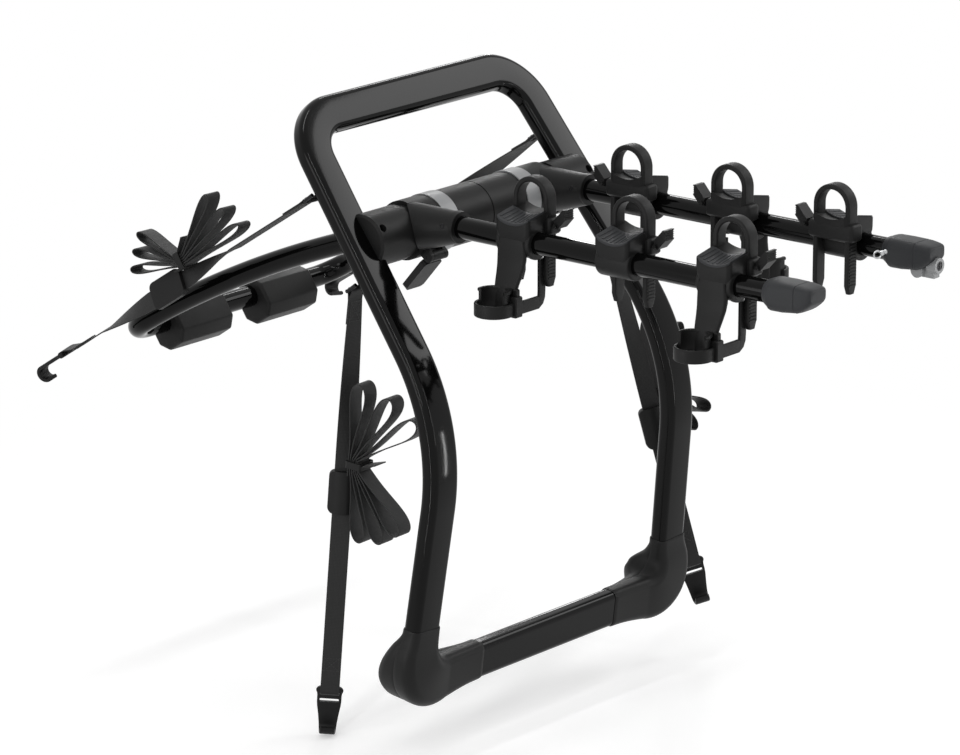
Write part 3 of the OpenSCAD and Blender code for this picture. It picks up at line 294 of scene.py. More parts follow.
def skin(rings, closed=False):
    """Points and faces of a skin through rings, capped unless it closes on itself."""
    count, width = len(rings), len(rings[0])
    faces = []
    for i in range(count if closed else count - 1):
        a, b = i * width, (i + 1) % count * width
        faces += [(a + j, a + (j + 1) % width, b + (j + 1) % width, b + j) for j in range(width)]
    if not closed:
        faces += [tuple(range(width)), tuple(range((count - 1) * width, count * width))]
    return [p for ring in rings for p in ring], faces


def joined(shapes):
    """Several shapes' points and faces as one."""
    points, faces = [], []
    for some_points, some_faces in shapes:
        faces += [tuple(i + len(points) for i in face) for face in some_faces]
        points += some_points
    return points, faces


def solid(name, shape):
    """Mesh of a shape in millimetres, its faces turned outwards."""
    mesh = bpy.data.meshes.new(name)
    mesh.from_pydata([p * MM for p in shape[0]], [], shape[1])
    shell = bmesh.new()
    shell.from_mesh(mesh)
    bmesh.ops.recalc_face_normals(shell, faces=shell.faces)
    shell.to_mesh(mesh)
    shell.free()
    return mesh


def linked(name, data):
    """New object in the scene."""
    made = bpy.data.objects.new(name, data)
    bpy.context.scene.collection.objects.link(made)
    return made


def dropped(used):
    """Remove an object and its mesh."""
    mesh = used.data
    bpy.data.objects.remove(used)
    bpy.data.meshes.remove(mesh)


def carved(shape, cutters):
    """Points and faces of a shape less its cutters, all in millimetres."""
    made = linked("Blank", solid("Blank", shape))
    tools = []
    for cutter in cutters:
        tool = linked("Cutter", solid("Cutter", cutter))
        cut = made.modifiers.new("Cut", "BOOLEAN")
        cut.operation, cut.object, cut.solver = "DIFFERENCE", tool, "EXACT"
        tools.append(tool)
    depsgraph = bpy.context.evaluated_depsgraph_get()
    mesh = bpy.data.meshes.new_from_object(made.evaluated_get(depsgraph), depsgraph=depsgraph)
    result = [v.co / MM for v in mesh.vertices], [tuple(f.vertices) for f in mesh.polygons]
    bpy.data.meshes.remove(mesh)
    for used in (made, *tools):
        dropped(used)
    if not result[1]:
        raise RuntimeError("the cut left nothing")
    return result


def moved(shape, matrix):
    return [matrix @ p for p in shape[0]], shape[1]


def rod_y(radius, y0, y1, sides=40):
    """Bar along Y."""
    return skin([[Vector((q.x, y, q.y)) for q in circle(radius, sides)] for y in (y0, y1)])


def soft_rod_y(radius, y0, y1, edge, bore):
    """Tube along Y with rounded outer edges."""
    ends = rounded_end(edge, 4)
    profile = [(y0 + d, radius - inset) for d, inset in ends]
    profile += [(y1 - d, radius - inset) for d, inset in reversed(ends)] + [(y1, bore), (y0, bore)]
    return skin([[Vector((q.x, y, q.y)) for q in circle(r, 40)] for y, r in profile], True)


def bent_bar(stations):
    """Bar through stations of a point, the direction across it, and its rounded section."""
    rings = []
    ways = directions([p for p, _, _ in stations])
    for (p, across, section), along in zip(stations, ways):
        face = along.cross(across).normalized()
        rings.append([p + across * q.x + face * q.y for q in section])
    return skin(rings)


def piece(name, shape, kind, body, nodes=(), uvs=None, sharp=35):
    """Object of a shape in millimetres in one finish, riding on a body and standing for its nodes."""
    mesh = solid(name, shape)
    if uvs:
        layer = mesh.uv_layers.new(name="Weave")
        for loop in mesh.loops:
            layer.data[loop.index].uv = uvs[loop.vertex_index]
    mesh.shade_smooth()
    mesh.set_sharp_from_angle(angle=math.radians(sharp))
    mesh.materials.append(finish(kind))
    attach(linked(name, mesh), body, nodes)


def attach(made, body, nodes=()):
    """Give an object its body and the nodes that it stands for."""
    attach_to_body(made, body)
    if nodes:
        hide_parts(*nodes)


# Finishes

def add(tree, kind, inputs=None, **settings):
    """Add a node with its settings, its input values and the links to its inputs."""
    made = tree.nodes.new(kind)
    for key, value in settings.items():
        setattr(made, key, value)
    for key, value in (inputs or {}).items():
        if isinstance(value, bpy.types.NodeSocket):
            tree.links.new(value, made.inputs[key])
        else:
            made.inputs[key].default_value = value
    return made


def empty_tree(block):
    """Cleared node tree of a new material or world."""
    block.use_nodes = True
    block.node_tree.nodes.clear()
    return block.node_tree


def rgba(colour, times=1):
    return (*(c * times for c in colour), 1)


def seen_directly(tree):
    """Socket that is 1 on rays from the camera, and on those that a piece mirrors or lets through."""
    ray = add(tree, "ShaderNodeLightPath").outputs
    seen = ray["Is Camera Ray"]
    for kind in ("Is Glossy Ray", "Is Transmission Ray"):
        seen = add(tree, "ShaderNodeMath", {0: seen, 1: ray[kind]}, operation="MAXIMUM").outputs["Value"]
    return seen


def finish(kind):
    """Material of one finish, in the colour of the scene's property of that name."""
    look = dict(FINISHES[kind])
    name = look.pop("name")
    made = bpy.data.materials.get(name)
    if not made:
        made = bpy.data.materials.new(name)
        surface = grained if look else woven
        surface(empty_tree(made), getattr(bpy.context.scene.rack_finishes, kind), **look)
    return made


def grained(tree, colour, spread, patch, grain, depth, rough, shader):
    """Surface whose colour and gloss wander in patches and which carries a grain."""
    place = add(tree, "ShaderNodeTexCoord").outputs["Object"]
    patches = add(tree, "ShaderNodeTexNoise", {"Vector": place, "Scale": 1 / (patch * MM), "Detail": 3.0})
    fine = add(tree, "ShaderNodeTexNoise", {"Vector": place, "Scale": 1 / (grain * MM), "Detail": 1.0})
    tone = add(tree, "ShaderNodeMix", {
        "Factor": patches.outputs["Fac"],
        "A": rgba(colour, 1 - spread), "B": rgba(colour, 1 + spread)}, data_type="RGBA")
    gloss = add(tree, "ShaderNodeMapRange", {
        "Value": patches.outputs["Fac"], "To Min": rough[0], "To Max": rough[1]})
    bump = add(tree, "ShaderNodeBump", {
        "Height": fine.outputs["Fac"], "Strength": depth, "Distance": grain * MM / 4})
    surface = add(tree, "ShaderNodeBsdfPrincipled", {
        "Base Color": tone.outputs["Result"], "Roughness": gloss.outputs["Result"],
        "Normal": bump.outputs["Normal"], **shader})
    add(tree, "ShaderNodeOutputMaterial", {"Surface": surface.outputs["BSDF"]})


def woven(tree, colour):
    """Woven surface on the webbing's own UV map, in metres across and along."""
    # A wave's period is 2 pi / 20 of its scale; warp cords lie 1.8 mm apart, and weft picks, 1.2 mm apart,
    # are drawn at 2 mm
    period = 2 * math.pi / 20
    # dark and light scale the colour into painted shade in the weave's gaps and a painted highlight on its
    # cords
    warp_step, weft_step, dark, light = 1.8 * MM, 2 * MM, 0.55, 2.0
    place = add(tree, "ShaderNodeUVMap", uv_map="Weave").outputs["UV"]
    warp = add(tree, "ShaderNodeTexWave", {"Vector": place, "Scale": period / warp_step}, bands_direction="X")
    weft = add(tree, "ShaderNodeTexWave", {
        "Vector": place, "Scale": period / weft_step, "Distortion": 0.4}, bands_direction="Y")
    weave = add(tree, "ShaderNodeMath", {
        0: warp.outputs["Fac"], 1: weft.outputs["Fac"]}, operation="MULTIPLY")
    # Colour over the weave: painted highlight on the tops of cords and picks, painted shade in the gaps; the
    # bump below is real
    tone = add(tree, "ShaderNodeMix", {
        "Factor": weave.outputs["Value"],
        "A": rgba(colour, dark), "B": rgba(colour, light)}, data_type="RGBA")
    bump = add(tree, "ShaderNodeBump", {
        "Height": weave.outputs["Value"], "Strength": 0.5, "Distance": 0.3 * MM})
    surface = add(tree, "ShaderNodeBsdfPrincipled", {
        "Base Color": tone.outputs["Result"], "Roughness": 0.62, "Specular IOR Level": 0.35,
        "Sheen Weight": 0.12, "Sheen Roughness": 0.4, "Normal": bump.outputs["Normal"]})
    add(tree, "ShaderNodeOutputMaterial", {"Surface": surface.outputs["BSDF"]})


# Geometry Nodes

def path_mesh(name, lines):
    """Edges of several lines, each a list of points in millimetres with the way outwards at each."""
    points, edges, outward = [], [], []
    for line in lines:
        edges += [(len(points) + i, len(points) + i + 1) for i in range(len(line) - 1)]
        points += [p * MM for p, _ in line]
        outward += [n.normalized() for _, n in line]
    mesh = bpy.data.meshes.new(name)
    mesh.from_pydata(points, edges, [])
    store = mesh.attributes.new("outward", "FLOAT_VECTOR", "POINT")
    for i, n in enumerate(outward):
        store.data[i].vector = n
    return linked(name, mesh)


def node_tree(name, inputs):
    """Empty geometry tree with the named inputs, and the sockets of its input node."""
    tree = bpy.data.node_groups.new(name, "GeometryNodeTree")
    for label, kind in (("Geometry", "Geometry"), *inputs, ("Material", "Material")):
        tree.interface.new_socket(label, in_out="INPUT", socket_type=f"NodeSocket{kind}")
    tree.interface.new_socket("Geometry", in_out="OUTPUT", socket_type="NodeSocketGeometry")
    return tree, tree.nodes.new("NodeGroupInput").outputs


def realized(tree, given, instances):
    """Tree that ends in the plain geometry of its instances, in the given material."""
    real = add(tree, "GeometryNodeRealizeInstances", {"Geometry": instances.outputs["Instances"]})
    dressed = add(tree, "GeometryNodeSetMaterial", {
        "Geometry": real.outputs["Geometry"], "Material": given["Material"]})
    add(tree, "NodeGroupOutput", {"Geometry": dressed.outputs["Geometry"]})
    return tree


def bars_along_path():
    """Tree that lays small bars along the edges of a mesh, flat against the surface they lie on."""
    name = "Bars_along_a_path"
    if name in bpy.data.node_groups:
        return bpy.data.node_groups[name]
    tree, given = node_tree(name, [
        (label, "Float") for label in ("Step", "Bar length", "Bar width", "Bar height")])
    curve = add(tree, "GeometryNodeMeshToCurve", {"Mesh": given["Geometry"]})
    places = add(tree, "GeometryNodeResampleCurve", {
        "Curve": curve.outputs["Curve"], "Length": given["Step"]}, mode="LENGTH")
    size = add(tree, "ShaderNodeCombineXYZ", {
        "X": given["Bar length"], "Y": given["Bar width"], "Z": given["Bar height"]})
    bar = add(tree, "GeometryNodeMeshCube", {"Size": size.outputs["Vector"]})
    outward = add(tree, "GeometryNodeInputNamedAttribute", {"Name": "outward"}, data_type="FLOAT_VECTOR")
    up = add(tree, "FunctionNodeAlignRotationToVector", {"Vector": outward.outputs["Attribute"]}, axis="Z")
    along = add(tree, "GeometryNodeInputTangent")
    turned = add(tree, "FunctionNodeAlignRotationToVector", {
        "Rotation": up.outputs["Rotation"], "Vector": along.outputs["Tangent"]}, axis="X", pivot_axis="Z")
    return realized(tree, given, add(tree, "GeometryNodeInstanceOnPoints", {
        "Points": places.outputs["Curve"], "Instance": bar.outputs["Mesh"],
        "Rotation": turned.outputs["Rotation"]}))


def heads_on_points():
    """Tree that sets one screw head on each point of a mesh, facing the way that the point gives."""
    tree, given = node_tree("Screw_heads_on_points", [("Head", "Object"), ("Head radius", "Float")])
    head = add(tree, "GeometryNodeObjectInfo", {"Object": given["Head"]})
    outward = add(tree, "GeometryNodeInputNamedAttribute", {"Name": "outward"}, data_type="FLOAT_VECTOR")
    facing = add(tree, "FunctionNodeAlignRotationToVector", {
        "Vector": outward.outputs["Attribute"]}, axis="Z")
    points = add(tree, "GeometryNodeMeshToPoints", {"Mesh": given["Geometry"]})
    return realized(tree, given, add(tree, "GeometryNodeInstanceOnPoints", {
        "Points": points.outputs["Points"], "Instance": head.outputs["Geometry"],
        "Rotation": facing.outputs["Rotation"], "Scale": given["Head radius"]}))


def grown(seed, tree, values, kind, body):
    """Turn a seed object into the plain mesh of a tree run on it, in one finish and riding on a body."""
    modifier = seed.modifiers.new("Grow", "NODES")
    modifier.node_group = tree
    values = {"Material": finish(kind), **values}
    for item in tree.interface.items_tree:
        if item.in_out == "INPUT" and item.name in values:
            modifier[item.identifier] = values[item.name]
    depsgraph = bpy.context.evaluated_depsgraph_get()
    mesh = bpy.data.meshes.new_from_object(seed.evaluated_get(depsgraph), depsgraph=depsgraph)
    if not mesh.polygons:
        raise RuntimeError(f"{seed.name}: the tree made no faces")
    seed.modifiers.remove(modifier)
    seed.data = mesh
    attach(seed, body)


def bars(name, lines, step, size, kind, body):
    """Lay bars of a length, width and height in metres along lines, a step apart."""
    long, wide, high = size
    values = {"Step": step, "Bar length": long, "Bar width": wide, "Bar height": high}
    grown(path_mesh(name, lines), bars_along_path(), values, kind, body)


# Operators

class RACK_OT_cad_finishes(bpy.types.Operator):
    """Give every carried-over solid its finish"""
    bl_idname = "rack.cad_finishes"
    bl_label = "Solids' finishes"

    def execute(self, context):
        kinds = {
            "steel": ("hub_shaft",),
            "black_steel": ("strap_anchors", "lock_core"),
            "light_grey_plastic": ("hub_rings", "lock_body"),
            "paint": ("frame_hoop", "lower_crossbar", "leg_hoop", "arm_tube"),
            "grey_rubber": ("arm_cap", "saddle_pad"),
            "black_rubber": ("foot_pads", "trunk_pad", "cradle_strap", "sway_strap", "webbing"),
        }
        for name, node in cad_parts.items():
            kind = next((k for k, words in kinds.items() if any(w in name for w in words)), "plastic")
            node.data.materials.clear()
            node.data.materials.append(finish(kind))
        return {"FINISHED"}


class RACK_OT_frame_tube(bpy.types.Operator):
    """Bend the flat-oval tube of the frame"""
    bl_idname = "rack.frame_tube"
    bl_label = "Frame tube"

    def execute(self, context):
        def at(side, s):
            return Vector((side * frame_w(s), s))

        tip = CROSS_S - BOOT_R
        top = [at(side, -HANDLE_UP) for side in (NEAR, FAR)]
        path = [at(NEAR, tip)]
        path += run(at(NEAR, BEND_END), at(NEAR, UPPER_LEN), 36) + [at(NEAR, UPPER_LEN)]
        path += corner(at(NEAR, UPPER_LEN), top[0], top[1], HANDLE_R, 24)
        path += corner(top[0], top[1], at(FAR, UPPER_LEN), HANDLE_R, 24)
        path += run(at(FAR, UPPER_LEN), at(FAR, BEND_END), 36) + [at(FAR, BEND_END), at(FAR, tip)]
        section = round_rect(*FRAME_TUBE)
        piece("Frame_tube", skin(sweep(on_frame, path, lambda i: section)), "paint", "frame", ["frame_hoop"])
        return {"FINISHED"}


class BootPath:
    """Path of one boot round a lower corner of the frame, with its swell at each point."""

    def __init__(self, side):
        first = Vector((side * frame_w(CROSS_S - BOOT_UP), CROSS_S - BOOT_UP))
        elbow = Vector((side * frame_w(CROSS_S), CROSS_S))
        last = Vector((side * BOOT_SEAM_X, CROSS_S))
        bend = corner(first, elbow, last, BOOT_R, 24)
        legs = run(first, bend[0], 16), run(bend[-1], last, 24)
        self.side = side
        self.path = legs[0] + bend + legs[1][1:] + [last]
        # The bend has three fifths of the swell's wave, and each leg one fifth
        self.share = [0.0]
        for part, steps in ((0.2, len(legs[0])), (0.6, len(bend) - 1), (0.2, len(legs[1]))):
            start = self.share[-1]
            self.share += [start + part * (i + 1) / steps for i in range(steps)]
        self.far = lengths(self.path)

    def swell(self, i):
        return math.sin(math.pi * self.share[i]) ** 2

    def aside(self, i):
        """Shift of the section to the outside of the corner."""
        return Vector((self.side * BOOT_SWELL / 2 * self.swell(i), 0))

    def width(self, i):
        return FRAME_TUBE[0] + 2 * BOOT_WALL + BOOT_SWELL * self.swell(i)

    def shell(self, i):
        """Section of the boot's outside."""
        lip, rounder = 1, 5
        _, t, r = FRAME_TUBE
        end = min(self.far[i], self.far[-1] - self.far[i])
        inset = rounded_inset(lip, min(end, lip))
        deep = t + 2 * BOOT_WALL + 2 * BOOT_BELLY * self.swell(i) - 2 * inset
        radius = r + BOOT_WALL + rounder * self.swell(i) - inset
        return [q + self.aside(i) for q in round_rect(self.width(i) - 2 * inset, deep, radius)]

    def heel(self, i):
        """Section of the rubber foot, which grows out of the boot's back up to the corner, then fades."""
        def ramp(low, high):
            x = max(0, min(1, (self.share[i] - low) / (high - low)))
            return x * x * (3 - 2 * x)

        # Shares of the path over which the foot grows and fades
        grows, fades = (0.0, 0.46), (0.56, 1.0)
        size = ramp(*grows) * (1 - ramp(*fades))
        root, sunk, step, edge = 4, 1, 0.8, 14
        back = FRAME_TUBE[1] / 2 - sunk + (BOOT_WALL + BOOT_BELLY + FIT + FOOT_DEPTH + sunk) * size
        front = root - root * size
        outline = round_rect(self.width(i) - step, back + front, min(edge, (back + front) / 2 - 0.5))
        return [q + self.aside(i) + Vector((0, (front - back) / 2)) for q in outline]


class RACK_OT_foot_boots(bpy.types.Operator):
    """Mould the elbow boots at the frame's lower corners"""
    bl_idname = "rack.foot_boots"
    bl_label = "Foot boots"

    def execute(self, context):
        w, t, r = FRAME_TUBE
        hole = round_rect(w + 2 * FIT, t + 2 * FIT, r - 2)
        for name, side in SIDES.items():
            boot = BootPath(side)
            rings = sweep(on_frame, boot.path, boot.shell) + sweep(on_frame, boot.path, lambda i: hole)[::-1]
            piece(f"{name.title()}_foot_boot", skin(rings, True), "plastic", "frame", [f"{name}_foot_boot"])
        return {"FINISHED"}


class RACK_OT_feet(bpy.types.Operator):
    """Mould the rubber feet that swell out of the boots' backs"""
    bl_idname = "rack.feet"
    bl_label = "Feet"

    def execute(self, context):
        boots = [BootPath(side) for side in (NEAR, FAR)]
        shapes = [skin(sweep(on_frame, boot.path, boot.heel)[1:-1]) for boot in boots]
        piece("Rubber_feet", joined(shapes), "black_rubber", "frame", ["foot_pads"])
        return {"FINISHED"}


class RACK_OT_trunk_leg(bpy.types.Operator):
    """Bend the round tube of the trunk leg"""
    bl_idname = "rack.trunk_leg"
    bl_label = "Trunk leg"

    def execute(self, context):
        ends = [Vector((side * LEG_HALF_IN, LEG_START)) for side in (NEAR, FAR)]
        outs = [Vector((side * LEG_HALF_OUT, LEG_LEN)) for side in (NEAR, FAR)]
        near = corner(ends[0], outs[0], outs[1], LEG_CORNER_R, 20)
        far = corner(outs[0], outs[1], ends[1], LEG_CORNER_R, 20)
        path = run(ends[0], near[0], 30) + near + far[:-1] + run(far[-1], ends[1], 30) + [ends[1]]
        section = circle(LEG_R)
        piece("Trunk_leg_tube", skin(sweep(on_leg, path, lambda i: section)), "paint", "leg", ["leg_hoop"])
        return {"FINISHED"}


class RACK_OT_trunk_pads(bpy.types.Operator):
    """Mould the eight-sided rubber pads on the leg's crossbar"""
    bl_idname = "rack.trunk_pads"
    bl_label = "Trunk pads"

    def execute(self, context):
        lip, edge, hole = 5, 5, LEG_R + 2 * FIT
        turn = Matrix.Rotation(-(LEG_FALL + LEG_SAG), 3, "X")
        bevel, wide, half = PAD_W / 4, PAD_W / 2, PAD_LEN / 2
        right = [
            (wide - bevel, PAD_UP), (wide, PAD_UP - bevel),
            (wide, bevel - PAD_DOWN), (wide - bevel, -PAD_DOWN)]
        corners = right + [(-y, z) for y, z in reversed(right)]
        outline = []
        for i, c in enumerate(corners):
            outline += corner(corners[i - 1], c, corners[(i + 1) % 8], edge, 4)
        centre = Vector((0, (PAD_UP - PAD_DOWN) / 2))
        profile = [(-half + d, inset) for d, inset in rounded_end(lip, 5)]
        profile += [(-x, inset) for x, inset in reversed(profile)]
        bore = [hole * q.normalized() for q in outline]
        rings = [(x, [q - (q - centre).normalized() * inset for q in outline]) for x, inset in profile]
        rings += [(half, bore), (-half, bore)]
        for name, side in SIDES.items():
            middle = on_leg(side * PAD_X, LEG_LEN, 0)
            shape = skin([[middle + turn @ Vector((x, q.x, q.y)) for q in ring] for x, ring in rings], True)
            piece(f"{name.title()}_trunk_pad", shape, "black_rubber", f"{name}_pad", [f"{name}_trunk_pad"])
        return {"FINISHED"}


class StrapRoute:
    """One strap's local frame and the points of its webbing, in millimetres."""

    def __init__(self, name):
        sizes = bpy.context.scene.rack_sizes
        self.width, self.thick = sizes.web_width / MM, sizes.web_thick / MM
        (side, place, hook, self.buckle, self.turn, self.end_turn,
         hank_turn, self.loops, self.up, self.down) = STRAPS[name]
        anchor = on_frame(side * (frame_w(place) + ANCHOR_OUT), place, -FRAME_TUBE[1] / 2 - BAIL_DROP)
        self.twist = SHORT_TWISTS.get(name, WHOLE_RUN)
        up = (anchor - Vector(hook)).normalized()
        across = (X - up.x * up).normalized()
        self.axes = Matrix((across, up.cross(across), up)).transposed()
        self.anchor, self.length = anchor, (anchor - Vector(hook)).length
        self.hank_turn = Matrix.Rotation(math.radians(hank_turn), 3, "Z")
        self.hank_base = Vector((
            self.width / 2 + self.thick, 0, -self.buckle + FIT + HANK_WAIST / 2 + HANK_LEAD))

    def world(self, v):
        return self.anchor + self.axes @ v

    def angle_at(self, z):
        """Turn of the webbing about its own length at a height."""
        clear = 10
        z1 = -self.buckle + clear
        z2 = -self.buckle - BUCKLE_LEN - clear
        z0, z3 = min(SEWN_FROM, z1 + self.twist), max(-self.length + clear, z2 - self.twist)
        if z > z1:
            return math.radians(self.turn) * max(0, min(1, (z0 - z) / (z0 - z1)))
        return math.radians(self.turn + (self.end_turn - self.turn) * max(0, min(1, (z2 - z) / (z2 - z3))))

    def station(self, off, z):
        """A point of the webbing off its middle plane, and the direction across it there."""
        a = self.angle_at(z)
        return Vector((-off * math.sin(a), off * math.cos(a), z)), Vector((math.cos(a), math.sin(a), 0))

    def main(self):
        """Sewn loop on the anchor, run through the buckle and sewn loop in the hook."""
        sewn, loop_r = self.thick + SEWN_GAP, 3.45
        # Each station: off the middle plane, and height
        offs = [(sewn, z) for z in (-46, -38, -30, -22, SEWN_FROM)] + [(sewn + 0.7, -7)]
        turns = [math.radians(a) for a in range(-15, 200, 15)]
        offs += [(loop_r * math.cos(a), loop_r * math.sin(a)) for a in turns]
        offs += [(-2.0, -5), (-0.7, -9), (0, SEWN_FROM)]
        end = -self.length
        steps = int((self.length - 20) / 8)
        offs += [(0, SEWN_FROM + (end + 18) * i / steps) for i in range(1, steps + 1)]
        offs += [
            (0, end - 4), (0.3, end - 7.4), (1.6, end - 9.2), (3.6, end - 9.6), (5.6, end - 9),
            (6.9, end - 7), (7.1, end - 3), (6.6, end + 2), (4.6, end + 8), (2.6, end + 14)]
        offs += [(sewn, end + up) for up in (20, 30, 44)]
        return [self.station(off, z) for off, z in offs]

    def loop(self, base, fan, number, way):
        """Teardrop loop of the hank, leaning out of the plane a little more at each turn."""
        steps, fullness, lean_step = 36, 0.7, 9
        length, first, step = fan
        aim = math.radians(first + number * step)
        bulge = fullness * math.tan(math.radians(step) / 2) * length
        lean = lean_step * (number - (self.loops - 1) / 2) * way
        points = []
        for i in range(steps + 1):
            u = math.pi * i / steps
            out = length * math.sin(u)
            aside = -HANK_PITCH / 2 * math.cos(u) - bulge * math.sin(2 * u) * math.sin(u)
            x = base[0] + out * math.sin(aim) + aside * math.cos(aim)
            z = base[1] + out * math.cos(aim) - aside * math.sin(aim)
            points.append(Vector((x, lean * math.sin(u), way * z)))
        return points

    def hank(self):
        """Whole run of the hank, one step further at each pass of the waist."""
        half = HANK_WAIST / 2
        points = [Vector((0, 0, -half - HANK_LEAD)), Vector((0, 0, -half))]
        for k in range(self.loops):
            points += self.loop(((2 * k + 0.5) * HANK_PITCH, half), self.up, k, 1)
            points += self.loop(((2 * k + 1.5) * HANK_PITCH, half), self.down, k, -1)
        last = math.radians(self.up[1] + self.loops * self.up[2])
        end = Vector((2 * self.loops * HANK_PITCH, 0, 0))
        way = Vector((math.sin(last), 0, math.cos(last)))
        points += [end, end + self.width / 2 * way, end + self.width * way]
        return [(self.hank_turn @ (self.hank_base + p), self.hank_turn @ Y) for p in points]

    def strip(self, stations):
        """Rings of webbing with softened edges through stations, and the UV of each point in metres."""
        w, t, e = self.width / 2, self.thick / 2, 0.4
        section = [
            (w, -t + e), (w, t - e), (w - e, t), (0, t), (e - w, t),
            (-w, t - e), (-w, e - t), (e - w, -t), (0, -t), (w - e, -t)]
        points = [p for p, _ in stations]
        rings, uvs = [], []
        for (p, across), along, far in zip(stations, directions(points), lengths(points)):
            side = (across - across.dot(along) * along).normalized()
            face = along.cross(side)
            rings.append([self.world(p + side * x + face * y) for x, y in section])
            uvs += [(x * MM, far * MM) for x, _ in section]
        return rings, uvs


class RACK_OT_webbing(bpy.types.Operator):
    """Weave the four straps with their hanks and tie each hank with a band"""
    bl_idname = "rack.webbing"
    bl_label = "Webbing straps"

    def execute(self, context):
        height = context.scene.rack_sizes.tie_height / MM / 2
        inside, outside = 1.4, 2.6
        for name in STRAPS:
            route = StrapRoute(name)
            shapes, uvs = [], []
            for stations in (route.main(), route.hank()):
                rings, some = route.strip(stations)
                shapes.append(skin(rings))
                uvs += some
            title = name.capitalize()
            piece(f"{title}_webbing", joined(shapes), "webbing", "frame", [f"{name}_webbing"], uvs)
            wide = 2 * route.loops * HANK_PITCH
            rings = []
            for grow, z in ((outside, height), (outside, -height), (inside, -height), (inside, height)):
                outline = round_rect(wide + 2 * grow + route.thick, route.width + 2 * grow, grow + 1, 4)
                ring = [route.hank_base + Vector((wide / 2 + q.x, q.y, 0)) + z * Z for q in outline]
                rings.append([route.world(route.hank_turn @ p) for p in ring])
            piece(f"{title}_hank_tie", skin(rings, True), "black_rubber", "frame")
        return {"FINISHED"}


class RACK_OT_strap_hooks(bpy.types.Operator):
    """Mould the trunk hooks at the straps' ends, each with two slots for the webbing"""
    bl_idname = "rack.strap_hooks"
    bl_label = "Strap hooks"

    def execute(self, context):
        length, thick, bend, edge = 62, 5, 7, 1.9
        tip, taper, steps, curl = 24, 0.4, 12, math.pi * 1.02
        turn_r, turn_z = bend + thick / 2, bend + thick - length
        # Stations down the plate: height and width
        plate = (
            (0, 29), (-1.5, 33), (-3.5, 35.5), (-6, 35.5), (-8.5, 33), (-12, 32), (-20, 32), (-26, 31),
            (-32, 29), (-40, 26.5), (turn_z, tip))
        slot_size, slot_heights, through = (25.4, 4.4, 1.4), (-9, -18), (-20, 30)
        slot = round_rect(*slot_size, 3)
        slots = [skin([[Vector((q.x, y, z + q.y)) for q in slot] for y in through]) for z in slot_heights]
        shapes = []
        for name in STRAPS:
            route = StrapRoute(name)
            face = route.thick / 2 + FIT + thick / 2
            stations = [(face, z, wide) for z, wide in plate]
            for k in range(1, steps + 1):
                a = curl * k / steps
                stations.append((
                    face - turn_r * (1 - math.cos(a)), turn_z - turn_r * math.sin(a), tip - taper * k))
            bar = [(Vector((0, off, z)), X, round_rect(wide, thick, edge, 4)) for off, z, wide in stations]
            turn = Matrix.Rotation(math.radians(route.end_turn), 3, "Z")
            points, faces = carved(bent_bar(bar), slots)
            shapes.append(([route.world(turn @ p + Vector((0, 0, -route.length))) for p in points], faces))
        piece("Strap_hooks", joined(shapes), "plastic", "frame", ["strap_hooks"])
        return {"FINISHED"}


class RACK_OT_stitching(bpy.types.Operator):
    """Sew the ends of each strap with a crossed box of stitches"""
    bl_idname = "rack.stitching"
    bl_label = "Stitching"

    def execute(self, context):
        sizes = context.scene.rack_sizes
        margin, thread = 3.5, (0.7 * MM, 0.6 * MM)
        lines = []
        for name in STRAPS:
            route = StrapRoute(name)
            reach = route.width / 2 - margin
            base = -route.length
            for first, last in ((-43, -17), (base + 24, base + 41)):
                middle = (first + last) / 2
                runs = [
                    [(-reach, first), (reach, first), (reach, last), (-reach, last), (-reach, first)],
                    [(-reach, first), (0, middle), (reach, last)],
                    [(reach, first), (0, middle), (-reach, last)]]
                for off in (-route.thick / 2, 1.5 * route.thick + SEWN_GAP):
                    for path in runs:
                        line = []
                        for x, z in path:
                            p, across = route.station(off, z)
                            face = Vector((-across.y, across.x, 0)) * (1 if off > 0 else -1)
                            line.append((route.world(p + across * x), route.axes @ face))
                        lines.append(line)
        bars("Strap_stitches", lines, sizes.stitch_step, (sizes.stitch, *thread), "thread", "frame")
        return {"FINISHED"}


def cradle_places():
    """Side, number and matrix to the rack's frame, in millimetres, of each cradle."""
    for name, side in SIDES.items():
        turn = Matrix.Rotation(math.pi if side == FAR else 0, 4, "Z")
        for number, place in enumerate(CRADLES[name], 1):
            yield name, number, Matrix.Translation((side * ARM_X, -place, ARM_Z)) @ turn


def cradle_strap_path(arc_steps):
    """Points of a cradle strap's middle and the way outwards at each, from one tail to the other."""
    radius = CRADLE_STRAP["span"] / 2 - CRADLE_STRAP["thick"] / 2
    crown = CRADLE_STRAP["top"] - CRADLE_STRAP["span"] / 2
    tail = -CRADLE_STRAP["tail"]
    x = CRADLE_STRAP["x"]
    heights = [tail + (crown - tail) * i / 10 for i in range(10)]
    path = [(Vector((x, -radius, z)), -Y) for z in heights]
    for i in range(arc_steps + 1):
        a = math.pi * (1 - i / arc_steps)
        out = Vector((0, math.cos(a), math.sin(a)))
        path.append((Vector((x, 0, crown)) + radius * out, out))
    return path + [(Vector((x, radius, z)), Y) for z in reversed(heights)]


